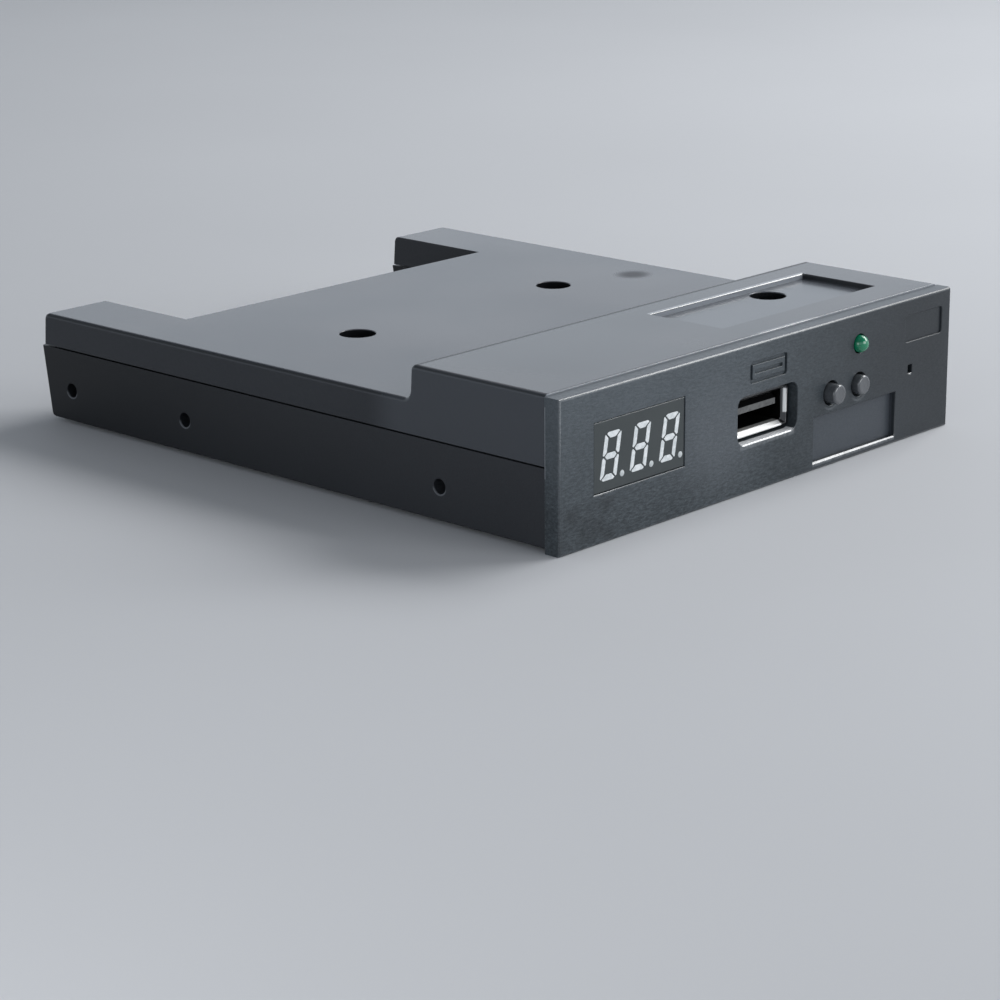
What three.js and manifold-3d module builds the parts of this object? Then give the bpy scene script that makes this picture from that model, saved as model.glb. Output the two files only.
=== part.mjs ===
import * as THREE from 'three';
import { mergeVertices } from 'three/addons/utils/BufferGeometryUtils.js';
import Module from 'manifold-3d';

// Floppy drive emulator in the size of a 3.5 inch drive. Millimetres, +Z up.
// It is drawn with X to the right seen from the front, Y running back from the
// face of the bezel, and Z starting at the table. At the end the whole device
// moves forward, so that the origin is the middle of its footprint.

const wasm = await Module();
wasm.setup();

// Fineness of round shapes
const circleSteps = 24;
const smallCircleSteps = 12;
const cornerSteps = 4;
const edgeSteps = 3;

// Clearances and helpers shared by all pieces
const weldDistance = 0.0001;
const overrun = 1;
const fit = 0.3;
const seatGap = 0.1;
const seamGap = 0.3;
const bezelGap = 0.2;

// Bezel
const bezelWidth = 101.6;
const bezelHeight = 24.7;
const bezelThickness = 2.9;
const bezelEdgeRadius = 0.45;
const rimThickness = 0.9;
const rimDepth = 3;
const tongueLength = 7.4;
const tongueThickness = 1.2;
const tongueStand = 1.5;
const tongueHeight = 4;
const tongueDrop = 4.4;
const hookLength = 2;

// Body of the case, outside
const bodyInset = 0.2;
const blockRise = 0.3;
const deckHeight = 19.3;
const riserTopY = 31.5;
const riserLean = 0.35;
const riserTopRadius = 1;
const riserFootRadius = 1.5;
const riserTopShare = 0.35;
const riserFootShare = 0.45;
const riserEdgeShare = 0.8;
const sideEdgeRadius = 0.8;
const coverRearY = 122.3;
const coverRearRadius = 1.1;
const coverRearLean = 0.45;
const trayOverhang = 0.4;
const trayRearLean = 1.85;
const trayEdgeRadius = 0.4;
const trayRearRadius = 0.8;
const trayBottomZ = 0.7;
const seamZ = 13.55;
const armWidth = 13.3;
const notchDepth = 22.8;

// Walls of the case
const wallThickness = 2;
const roofThickness = 2.2;
const floorThickness = 1.8;
const lipThickness = 0.8;
const lipHeight = 1.3;

// Shallow pocket in the top of the front block
const labelPocketFromRight = 8.9;
const labelPocketWidth = 15.4;
const labelPocketLeftX = 0;
const labelPocketCentreY = 17.5;
const labelPocketDepth = 0.95;

// Case screws and their wells
const deckScrewX = 25;
const deckScrewFromRear = 53;
const blockScrewX = 27.1;
const blockScrewGap = 2.3;
const wellRadius = 3.15;
const wellWall = 1.3;
const wellFloorThickness = 1.8;
const screwRadius = 1.4;
const screwLength = 7.4;
const screwHeadRadius = 2.6;
const screwHeadHeight = 1.9;
const screwHeadRounding = 0.7;
const screwTipLength = 1;
const driveSlotWidth = 0.7;
const driveSlotLength = 3.2;
const driveSlotDepth = 1.1;
const screwBossRadius = 3.1;

// Tray details
const sideHoleRadius = 1.25;
const sideHoleEnd = 0.5;
const sideHoleZ = 6.3;
const sideHoleFirstY = 25.4;
const sideHoleFromRear = 7.75;
const sideHolePitch = 30;
const sideBossRadius = 3.1;
const sideBossGap = 0.6;
const postRadius = 2;
const footRadius = 4;
const footFrontY = 14;
const footFromRear = 9;
const catchLength = 2;
const undersidePocketLength = 62;
const undersidePocketWidth = 40;
const undersidePocketDepth = 0.4;
const undersidePocketCentreY = 56;

// Display
const windowWidth = 21.7;
const windowHeight = 11.4;
const windowFromLeft = 7.8;
const windowCentreZ = 13.8;
const windowFrameWall = 1;
const windowFrameDepth = 2.5;
const displayGap = 0.25;
const displayFaceY = 0.15;
const displayDepth = 6.6;
const digitSideMargin = 0.055;
const digitGroupShift = -0.1;
const digitTopMargin = 2.22;
const digitHalfWidth = 1.55;
const digitSlant = 0.18;
const segmentWidth = 1;
const segmentTipGap = 0.15;
const displayWall = 0.8;
const segmentClearance = 0.06;
const dotRadius = 0.53;
const dotFromDigit = 2.64;
const displayBoardThickness = 1.6;
const displayBoardMargin = 0.8;
const displayPinWidth = 0.5;
const displayPinRowRise = 2.25;
const displayPinRowDrop = 2.5;
const displayPinsPerRow = 6;
const displayPinProud = 0.4;
const displayHeaderPins = 9;
const displayHeaderHeight = 1.4;

// USB port
const portCentreX = -0.2;
const portCentreZ = 12.4;
const apertureSideGap = 0.7;
const apertureTopGap = 0.59;
const apertureRadius = 1.6;
const shellWidth = 13.1;
const shellHeight = 5.72;
const shellSheet = 0.3;
const shellRadius = 0.7;
const shellFrontY = 2.3;
const shellRearY = 15.4;
const flareReach = 0.55;
const flareLength = 0.7;
const shellLegWidth = 1.6;
const shellLegFromRear = 1.6;
const shellLegPitch = 2.6;
const plugStopLength = 4.4;
const plugStopInset = 0.25;
const tongueSideGap = 0.7;
const tongueHeightUsb = 1.84;
const tongueRise = 0.1;
const tongueFrontY = 2.9;
const tongueTipHeight = 1;
const tongueTipLength = 0.9;
const contactWidth = 1;
const contactThickness = 0.25;
const contactInnerX = 1;
const contactOuterX = 3.5;
const contactFrontY = 4;
const contactSlotGap = 0.15;

// Push switches, whose plungers are the buttons
const portToButton = 17;
const bracketSpacing = 0.9;
const buttonAboveBoard = 3.9;
const buttonHoleGap = 0.4;
const buttonRadius = 1.7;
const buttonEdge = 0.25;
const buttonFlangeStep = 0.5;
const buttonFlangeLength = 0.9;
const leftButtonProud = 1.9;
const rightButtonProud = 1.2;
const buttonTravel = 0.3;
const switchSize = 6;
const switchFrontY = 6.6;
const switchDepth = 3.4;
const switchBoreDepth = 2.3;
const bracketSheet = 0.3;
const bracketLegWidth = 1.2;
const bracketLegFromEdge = 1.1;
const domeRise = 0.5;
const domeSheet = 0.12;

// Status lamp
const lampBelowTop = 5.5;
const lampHoleRadius = 1.65;
const lampRadius = 1.5;
const lampBodyLength = 3.3;
const lampFlangeRadius = 1.8;
const lampFlangeLength = 1;
const lampLeadWidth = 0.5;
const lampLeadPitch = 2.54;
const lampHolderWidth = 5;
const lampHolderArm = 3.4;
const lampHolderFoot = 3.7;

// Other features of the bezel's face
const facePocketWidth = 22.85;
const facePocketHeight = 7.75;
const facePocketFromRight = 15.75;
const facePocketBottomZ = 1.35;
const facePocketDepth = 1.05;
const pinholeWidth = 1.15;
const pinholeHeight = 1.45;
const pinholeFromRight = 11.6;
const pinholeZ = 12.35;
const nameplateWidth = 10.6;
const nameplateHeight = 4.6;
const nameplateFromRight = 7.9;
const nameplateZ = 19.5;
const nameplateDepth = 0.35;
const nameplateRadius = 0.5;
const portMarkWidth = 9.6;
const portMarkHeight = 3.6;
const portMarkLine = 0.6;
const portMarkDepth = 0.4;
const portMarkZ = 20;
const portMarkRadius = 0.5;

// Main board
const portAboveBoard = 3.8;
const boardThickness = 1.6;
const boardFrontGap = 1.15;
const boardSideGap = 5.1;
const boardTailGap = 1.4;
const boardTailOverhang = 9.8;
const boardHoleGap = 0.15;

// Headers at the back
const pinPitch = 2.54;
const pinWidth = 0.64;
const pinTipLength = 6;
const pinFootDrop = 1.2;
const headerDepth = 2.54;
const headerSpacing = 1;
const jumperColumns = 5;
const powerPins = 4;
const powerPitch = 2.5;
const powerPinWidth = 0.8;
const powerEdge = 2.4;
const powerWallHeight = 6.2;
const powerWallDepth = 2.4;
const powerShelfHeight = 1.2;
const powerShelfLength = 5.5;
const powerPinRise = 3.6;
const capWidth = 2.3;
const capHeight = 4.9;
const capLength = 5.6;
const capBoreGap = 0.2;
const capGap = 0.2;

// Parts on the main board
const controllerSize = 7;
const controllerHeight = 1.4;
const controllerPitch = 0.8;
const controllerPinsPerSide = 7;
const controllerX = -6;
const controllerY = 46;
const bufferLength = 8.7;
const bufferWidth = 3.9;
const bufferHeight = 1.5;
const bufferPitch = 1.27;
const bufferPinsPerSide = 7;
const bufferX = -16;
const bufferFromShoulder = 11.2;
const bufferSpacing = 16;
const chipPinLength = 1;
const chipPinRoot = 0.5;
const chipPinShare = 0.4;
const chipPinThickness = 0.25;
const crystalLength = 11.4;
const crystalWidth = 4.7;
const crystalHeight = 3.5;
const crystalX = -20;
const crystalY = 36;
const capacitorRadius = 3.1;
const capacitorHeadroom = 1.9;
const capacitorBase = 0.8;
const capacitorFromSide = 8.5;
const capacitorFromShoulder = 11.2;
const capacitorSpacing = 9;
const regulatorWidth = 6.5;
const regulatorDepth = 6;
const regulatorHeight = 2.3;
const regulatorTabDepth = 1.2;
const regulatorTabHeight = 0.5;
const regulatorFromSide = 9.5;
const regulatorFromShoulder = 45.2;
const networkLength = 22.8;
const networkWidth = 2.2;
const networkHeight = 4.6;
const networkX = -2;
const networkFromShoulder = 23.2;

// Places worked out from the sizes above
const blockHeight = bezelHeight + blockRise;
const bodyHalf = bezelWidth / 2 - bodyInset;
const bodyFrontY = bezelThickness + bezelGap;
const notchHalf = bodyHalf - armWidth;
const notchFrontY = coverRearY - notchDepth;
const coverBottomZ = seamZ + seamGap / 2;
const trayTopZ = seamZ - seamGap / 2;
const trayFloorZ = trayBottomZ + floorThickness;
const trayRearY = coverRearY + coverRearLean + trayOverhang;
const cavityHalf = bodyHalf - wallThickness;
const cavityRearY = trayRearY - trayRearLean - wallThickness;
const displayRearY = displayFaceY + displayDepth;
const displayBoardY = displayRearY + fit;
const displayBoardRearY = displayBoardY + displayBoardThickness;
const boardTopZ = portCentreZ - portAboveBoard;
const boardBottomZ = boardTopZ - boardThickness;
const boardFrontY = displayBoardRearY + boardFrontGap;
const boardHalf = cavityHalf - boardSideGap;
const boardShoulderY = notchFrontY - wallThickness - fit;
const boardTailHalf = notchHalf - boardTailGap;
const boardRearY = notchFrontY + boardTailOverhang;
const legFootZ = boardBottomZ - pinFootDrop;
const partFootZ = boardTopZ + seatGap;
const sideBossLength = boardSideGap - sideBossGap;
const windowCentreX = windowFromLeft + windowWidth / 2 - bezelWidth / 2;
const apertureWidth = shellWidth + 2 * (flareReach + apertureSideGap);
const apertureHeight = shellHeight + 2 * (flareReach + apertureTopGap);
const buttonPitch = switchSize + 2 * (seatGap + bracketSheet) + bracketSpacing;
const buttonHoleRadius = buttonRadius + buttonHoleGap;
const buttonFlangeRadius = buttonRadius + buttonFlangeStep;
const leftButtonX = portCentreX + portToButton;
const rightColumnX = leftButtonX + buttonPitch;
const buttonZ = boardTopZ + buttonAboveBoard;
const lampZ = blockHeight - lampBelowTop;
const wellBottomZ = boardTopZ + fit;
const wellFloorZ = wellBottomZ + wellFloorThickness;
const headerFrontY = boardRearY - headerDepth;
const powerTopZ = boardTopZ + seatGap + powerWallHeight;
const tongueRearY = bezelThickness + rimDepth + tongueLength;
const tongueBottomZ = trayTopZ - tongueDrop;
const lampHolderFootY = switchFrontY + switchDepth + fit;
const lampHolderRearY = lampHolderFootY + lampHolderFoot;
const lampLegY = lampHolderRearY + seatGap + lampLeadWidth;
const blockScrewY = lampLegY + lampLeadWidth / 2 + blockScrewGap + wellRadius + wellWall;
const deckScrewY = coverRearY - deckScrewFromRear;
const screwPlaces = [
  { name: 'case_screw_left', x: -deckScrewX, y: deckScrewY, topZ: deckHeight },
  { name: 'case_screw_right', x: deckScrewX, y: deckScrewY, topZ: deckHeight },
  { name: 'case_screw_front', x: blockScrewX, y: blockScrewY, topZ: blockHeight - labelPocketDepth },
];

// Solids and geometries

function solidOf(geometry) {
  geometry.deleteAttribute('normal');
  geometry.deleteAttribute('uv');
  const merged = mergeVertices(geometry, weldDistance);
  return new wasm.Manifold(new wasm.Mesh({
    numProp: 3,
    vertProperties: merged.attributes.position.array,
    triVerts: Uint32Array.from(merged.index.array),
  }));
}

function geometryOf(solid) {
  const mesh = solid.getMesh();
  const geometry = new THREE.BufferGeometry();
  geometry.setAttribute('position', new THREE.BufferAttribute(mesh.vertProperties.slice(), 3));
  geometry.setIndex(new THREE.BufferAttribute(mesh.triVerts.slice(), 1));
  geometry.computeVertexNormals();
  return geometry;
}

function join(first, ...others) {
  return others.reduce((whole, other) => whole.add(other), first);
}

function cut(first, ...others) {
  return others.reduce((rest, other) => rest.subtract(other), first);
}

// A box between two limits on each axis
function box(x0, x1, y0, y1, z0, z1) {
  const geometry = new THREE.BoxGeometry(x1 - x0, y1 - y0, z1 - z0);
  return solidOf(geometry.translate((x0 + x1) / 2, (y0 + y1) / 2, (z0 + z1) / 2));
}

// Round bars along each axis
function barX(y, z, radius, from, to, steps = circleSteps) {
  const geometry = new THREE.CylinderGeometry(radius, radius, to - from, steps);
  return solidOf(geometry.rotateZ(Math.PI / 2).translate((from + to) / 2, y, z));
}

function barY(x, z, radius, from, to, steps = circleSteps) {
  const geometry = new THREE.CylinderGeometry(radius, radius, to - from, steps);
  return solidOf(geometry.translate(x, (from + to) / 2, z));
}

function barZ(x, y, radius, from, to, steps = circleSteps) {
  const geometry = new THREE.CylinderGeometry(radius, radius, to - from, steps);
  return solidOf(geometry.rotateX(Math.PI / 2).translate(x, y, (from + to) / 2));
}

// A closed outline from corners [x, y, radius], each rounded by its radius
function outline(corners) {
  const points = corners.flatMap(([x, y, radius = 0], i) => {
    const corner = new THREE.Vector2(x, y);
    if (radius === 0) return [corner];
    const before = new THREE.Vector2(...corners.at(i - 1)).sub(corner).normalize();
    const after = new THREE.Vector2(...corners[(i + 1) % corners.length]).sub(corner).normalize();
    const half = Math.acos(before.dot(after)) / 2;
    const middle = before.clone().add(after).normalize();
    const centre = corner.clone().addScaledVector(middle, radius / Math.sin(half));
    const start = corner.clone().addScaledVector(before, radius / Math.tan(half)).sub(centre);
    const end = corner.clone().addScaledVector(after, radius / Math.tan(half)).sub(centre);
    const sweep = Math.atan2(start.cross(end), start.dot(end));
    return Array.from({ length: cornerSteps + 1 }, (_, step) => (
      start.clone().rotateAround(new THREE.Vector2(), sweep * step / cornerSteps).add(centre)
    ));
  });
  return new THREE.Shape(points);
}

function rectangle(centreX, centreY, width, height, radius = 0) {
  const x0 = centreX - width / 2;
  const y0 = centreY - height / 2;
  const x1 = x0 + width;
  const y1 = y0 + height;
  return outline([[x0, y0, radius], [x1, y0, radius], [x1, y1, radius], [x0, y1, radius]]);
}

// Turn an extrusion of an outline to run along X, Y or Z
const turns = {
  x: new THREE.Matrix4().makeBasis(
    new THREE.Vector3(0, 1, 0),
    new THREE.Vector3(0, 0, 1),
    new THREE.Vector3(1, 0, 0),
  ),
  y: new THREE.Matrix4().makeRotationX(Math.PI / 2),
  z: new THREE.Matrix4(),
};

// An outline drawn in (y, z), (x, z) or (x, y), run along the axis left over
function prismGeometry(shape, axis, from, to) {
  const options = { depth: to - from, bevelEnabled: false, curveSegments: cornerSteps };
  const geometry = new THREE.ExtrudeGeometry(shape, options).applyMatrix4(turns[axis]);
  if (axis === 'x') return geometry.translate(from, 0, 0);
  if (axis === 'y') return geometry.translate(0, to, 0);
  return geometry.translate(0, 0, from);
}

function prism(shape, axis, from, to) {
  return solidOf(prismGeometry(shape, axis, from, to));
}

// The same, with the edges of both ends rounded
function roundedPrism(shape, axis, from, to, radius) {
  const options = {
    depth: to - from - 2 * radius,
    bevelThickness: radius,
    bevelSize: radius,
    bevelOffset: -radius,
    bevelSegments: edgeSteps,
    curveSegments: cornerSteps,
  };
  const geometry = new THREE.ExtrudeGeometry(shape, options).applyMatrix4(turns[axis]);
  if (axis === 'x') return solidOf(geometry.translate(from + radius, 0, 0));
  if (axis === 'y') return solidOf(geometry.translate(0, to - radius, 0));
  return solidOf(geometry.translate(0, 0, from + radius));
}

// A turned piece from points [radius, height] that start and end on its axis
function turned(points, steps = circleSteps) {
  const geometry = new THREE.LatheGeometry(points.map(([r, h]) => new THREE.Vector2(r, h)), steps);
  return geometry;
}

// A square pin that runs forward from its tip and turns down into the board
function anglePin(x, z, tipY, legY, width) {
  const half = width / 2;
  const shape = outline([
    [tipY, z - half],
    [tipY, z + half],
    [legY - half, z + half],
    [legY - half, legFootZ],
    [legY + half, legFootZ],
    [legY + half, z - half],
  ]);
  return prism(shape, 'x', x - half, x + half);
}

// The hollow of the case in plan, drawn in from the outside by an inset
function hollowPlan(inset, frontY) {
  const half = bodyHalf - inset;
  const rearY = cavityRearY + wallThickness - inset;
  const armInside = notchHalf + inset;
  const notchEdgeY = notchFrontY - inset;
  return outline([
    [-half, frontY],
    [half, frontY],
    [half, rearY],
    [armInside, rearY],
    [armInside, notchEdgeY],
    [-armInside, notchEdgeY],
    [-armInside, rearY],
    [-half, rearY],
  ]);
}

function notchBox() {
  return box(
    -notchHalf, notchHalf, notchFrontY, trayRearY + overrun,
    -overrun, blockHeight + overrun,
  );
}

// Places of every leg that goes through the main board, as [x, y, width, length]

function rowOfPlaces(count, pitch, centre) {
  return Array.from({ length: count }, (_, i) => centre + (i - (count - 1) / 2) * pitch);
}

const jumperLength = jumperColumns * pinPitch;
const powerLength = (powerPins - 1) * powerPitch + 2 * powerEdge;
const dataRoom = 2 * (boardTailHalf - headerSpacing) - jumperLength - powerLength;
const dataColumns = Math.floor(dataRoom / pinPitch);
const dataLength = dataColumns * pinPitch;
const headersLength = dataLength + jumperLength + powerLength + 2 * headerSpacing;
const dataCentreX = dataLength / 2 - headersLength / 2;
const jumperCentreX = dataCentreX + (dataLength + jumperLength) / 2 + headerSpacing;
const powerCentreX = jumperCentreX + (jumperLength + powerLength) / 2 + headerSpacing;
const dataXs = rowOfPlaces(dataColumns, pinPitch, dataCentreX);
const jumperXs = rowOfPlaces(jumperColumns, pinPitch, jumperCentreX);
const powerXs = rowOfPlaces(powerPins, powerPitch, powerCentreX);
const lowerPinZ = boardTopZ + seatGap + pinPitch / 2;
const upperPinZ = lowerPinZ + pinPitch;
const lowerLegY = headerFrontY - pinPitch / 2;
const upperLegY = lowerLegY - pinPitch;
const pinTipY = boardRearY + pinTipLength;
const powerFrontY = headerFrontY - powerWallDepth / 2;
const powerPinZ = boardTopZ + seatGap + powerPinRise;
const powerLegY = powerFrontY - powerWallDepth / 2;

const displayBottomZ = windowCentreZ - windowHeight / 2 + displayGap;
const displayTopZ = windowCentreZ + windowHeight / 2 - displayGap;
const displayHalf = windowWidth / 2 - displayGap;
const digitPitch = (2 * displayHalf - 2 * digitSideMargin) / 3;
const digitHalfHeight = windowHeight / 2 - digitTopMargin;
const displayHeaderXs = rowOfPlaces(displayHeaderPins, pinPitch, windowCentreX);
const displayHeaderZ = boardTopZ + seatGap + displayHeaderHeight / 2;
const displayHeaderFrontY = displayBoardRearY + displayPinProud + seatGap;
const displayHeaderRearY = displayHeaderFrontY + headerDepth;
const displayHeaderLegY = displayHeaderRearY + pinWidth;

const contactXs = [-contactOuterX, -contactInnerX, contactInnerX, contactOuterX].map((x) => portCentreX + x);
const contactLegY = shellRearY + contactThickness + seatGap;
const shellLegXs = [-1, 1].map((side) => portCentreX + side * (shellWidth - shellSheet) / 2);
const shellLegYs = [0, 1].map((i) => shellRearY - shellLegFromRear - i * shellLegPitch);

const lampLeadXs = [-1, 1].map((side) => rightColumnX + side * lampLeadPitch / 2);

const switchXs = [leftButtonX, rightColumnX];
const bracketLegX = switchSize / 2 + seatGap + bracketSheet / 2;
const bracketLegY = boardFrontY + bracketLegFromEdge + bracketLegWidth / 2;

function boardLegs() {
  const legs = [];
  const add = (xs, ys, width, length = width) => {
    for (const x of xs) {
      for (const y of ys) legs.push([x, y, width, length]);
    }
  };
  add([...dataXs, ...jumperXs], [lowerLegY, upperLegY], pinWidth);
  add(powerXs, [powerLegY], powerPinWidth);
  add(displayHeaderXs, [displayHeaderLegY], displayPinWidth);
  add(contactXs, [contactLegY], contactWidth, contactThickness);
  add(shellLegXs, shellLegYs, shellSheet, shellLegWidth);
  add(lampLeadXs, [lampLegY], lampLeadWidth);
  for (const x of switchXs) {
    add([x - bracketLegX, x + bracketLegX], [bracketLegY], bracketSheet, bracketLegWidth);
  }
  return legs;
}

// Case

function topCover() {
  const rise = blockHeight - deckHeight;
  const topRadius = Math.min(riserTopRadius, rise * riserTopShare);
  const edgeRadius = Math.min(sideEdgeRadius, topRadius * riserEdgeShare);
  const startY = bodyFrontY - sideEdgeRadius - overrun;
  const bottomZ = coverBottomZ - sideEdgeRadius - overrun;
  const lean = coverRearLean * (deckHeight - bottomZ) / (deckHeight - coverBottomZ);
  const sideProfile = outline([
    [startY, bottomZ],
    [startY, blockHeight],
    [riserTopY, blockHeight, topRadius],
    [riserTopY + riserLean, deckHeight, Math.min(riserFootRadius, rise * riserFootShare)],
    [coverRearY, deckHeight, coverRearRadius],
    [coverRearY + lean, bottomZ],
  ]);
  const trim = box(
    -bodyHalf - overrun, bodyHalf + overrun, bodyFrontY, trayRearY + overrun,
    coverBottomZ, blockHeight + overrun,
  );
  const outside = roundedPrism(sideProfile, 'x', -bodyHalf, bodyHalf, edgeRadius).intersect(trim);
  const openY = bodyFrontY - overrun;
  const roofProfile = outline([
    [openY - overrun, bottomZ],
    [openY - overrun, blockHeight - roofThickness],
    [riserTopY - wallThickness, blockHeight - roofThickness],
    [riserTopY + riserLean - wallThickness, deckHeight - roofThickness],
    [trayRearY + overrun, deckHeight - roofThickness],
    [trayRearY + overrun, bottomZ],
  ]);
  const hollow = prism(hollowPlan(wallThickness, openY), 'z', bottomZ, blockHeight)
    .intersect(prism(roofProfile, 'x', -bodyHalf, bodyHalf));
  const lipRoom = prism(
    hollowPlan(wallThickness - lipThickness - fit, openY), 'z',
    coverBottomZ - overrun, trayTopZ + lipHeight + fit,
  );
  const rearPort = box(
    -boardTailHalf - fit, boardTailHalf + fit, notchFrontY - wallThickness - overrun,
    notchFrontY + overrun, coverBottomZ - overrun, powerTopZ + fit,
  );
  const labelPocket = box(
    labelPocketLeftX, bodyHalf - labelPocketFromRight,
    labelPocketCentreY - labelPocketWidth / 2, labelPocketCentreY + labelPocketWidth / 2,
    blockHeight - labelPocketDepth, blockHeight + overrun,
  );
  const tubes = screwPlaces.map(({ x, y, topZ }) => (
    barZ(x, y, wellRadius + wellWall, wellBottomZ, topZ - (roofThickness - labelPocketDepth) / 2)
  ));
  const wells = screwPlaces.map(({ x, y }) => barZ(x, y, wellRadius, wellFloorZ, blockHeight + overrun));
  const holes = screwPlaces.map(({ x, y }) => (
    barZ(x, y, screwRadius + fit, wellBottomZ - overrun, wellFloorZ + overrun)
  ));
  const shell = cut(outside, hollow, lipRoom, notchBox(), rearPort);
  return cut(join(shell, ...tubes), labelPocket, ...wells, ...holes);
}

function bottomTray() {
  const startY = bodyFrontY - trayEdgeRadius - overrun;
  const topZ = trayTopZ + trayEdgeRadius + overrun;
  const lean = trayRearLean * (topZ - trayTopZ) / (trayTopZ - trayBottomZ);
  const sideProfile = outline([
    [startY, trayBottomZ],
    [trayRearY - trayRearLean, trayBottomZ, trayRearRadius],
    [trayRearY + lean, topZ],
    [startY, topZ],
  ]);
  const trim = box(
    -bodyHalf - overrun, bodyHalf + overrun, bodyFrontY, trayRearY + overrun,
    0, trayTopZ,
  );
  const outside = roundedPrism(sideProfile, 'x', -bodyHalf, bodyHalf, trayEdgeRadius).intersect(trim);
  const hollow = prism(hollowPlan(wallThickness, bodyFrontY - overrun), 'z', trayFloorZ, blockHeight);
  const lip = prism(
    hollowPlan(wallThickness - lipThickness, bodyFrontY), 'z',
    trayTopZ - lipHeight, trayTopZ + lipHeight,
  );
  const rearPort = box(
    -boardTailHalf - fit, boardTailHalf + fit, notchFrontY - wallThickness - overrun,
    notchFrontY + overrun, boardBottomZ - fit, blockHeight,
  );
  const shell = cut(join(outside, lip), hollow, notchBox(), rearPort);

  const sides = [-1, 1];
  const sideHoleLastY = trayRearY - sideHoleFromRear;
  const sideHoleYs = [sideHoleFirstY, sideHoleLastY - sideHolePitch, sideHoleLastY];
  const bosses = [];
  const holes = [];
  for (const side of sides) {
    for (const y of sideHoleYs) {
      const ends = [side * (bodyHalf - wallThickness / 2), side * (cavityHalf - sideBossLength)];
      bosses.push(barX(
        y, sideHoleZ, sideBossRadius, Math.min(...ends), Math.max(...ends), smallCircleSteps,
      ));
      const hole = [side * (bodyHalf + overrun), side * (cavityHalf - sideBossLength + sideHoleEnd)];
      holes.push(barX(y, sideHoleZ, sideHoleRadius, Math.min(...hole), Math.max(...hole)));
    }
  }
  for (const { x, y } of screwPlaces) {
    bosses.push(barZ(
      x, y, screwBossRadius, trayBottomZ + floorThickness / 2, boardBottomZ - seatGap, smallCircleSteps,
    ));
    const tipZ = wellFloorZ + seatGap - screwLength;
    holes.push(barZ(x, y, screwRadius + seatGap, tipZ - fit, boardTopZ, smallCircleSteps));
  }
  const postXs = sides.map((side) => side * (boardHalf - 2 * postRadius));
  for (const x of postXs) {
    for (const y of [boardFrontY + 4 * postRadius, boardShoulderY - 2 * postRadius]) {
      bosses.push(barZ(
        x, y, postRadius, trayBottomZ + floorThickness / 2, boardBottomZ - seatGap, smallCircleSteps,
      ));
    }
  }
  const catchRearY = tongueRearY - hookLength - fit;
  for (const side of sides) {
    const ends = [side * (bodyHalf - wallThickness / 2), side * (cavityHalf - tongueStand + fit)];
    bosses.push(box(
      Math.min(...ends), Math.max(...ends), catchRearY - catchLength, catchRearY,
      trayFloorZ - floorThickness / 2, tongueBottomZ + tongueHeight,
    ));
  }
  const feet = [];
  for (const side of sides) {
    for (const y of [footFrontY, trayRearY - trayRearLean - footFromRear]) {
      const x = side * (bodyHalf - armWidth / 2);
      feet.push(barZ(x, y, footRadius, 0, trayBottomZ + floorThickness / 2));
    }
  }
  const undersidePocket = box(
    -undersidePocketLength / 2, undersidePocketLength / 2,
    undersidePocketCentreY - undersidePocketWidth / 2, undersidePocketCentreY + undersidePocketWidth / 2,
    0, trayBottomZ + undersidePocketDepth,
  );
  return cut(join(shell, ...bosses, ...feet), undersidePocket, ...holes);
}

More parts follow.
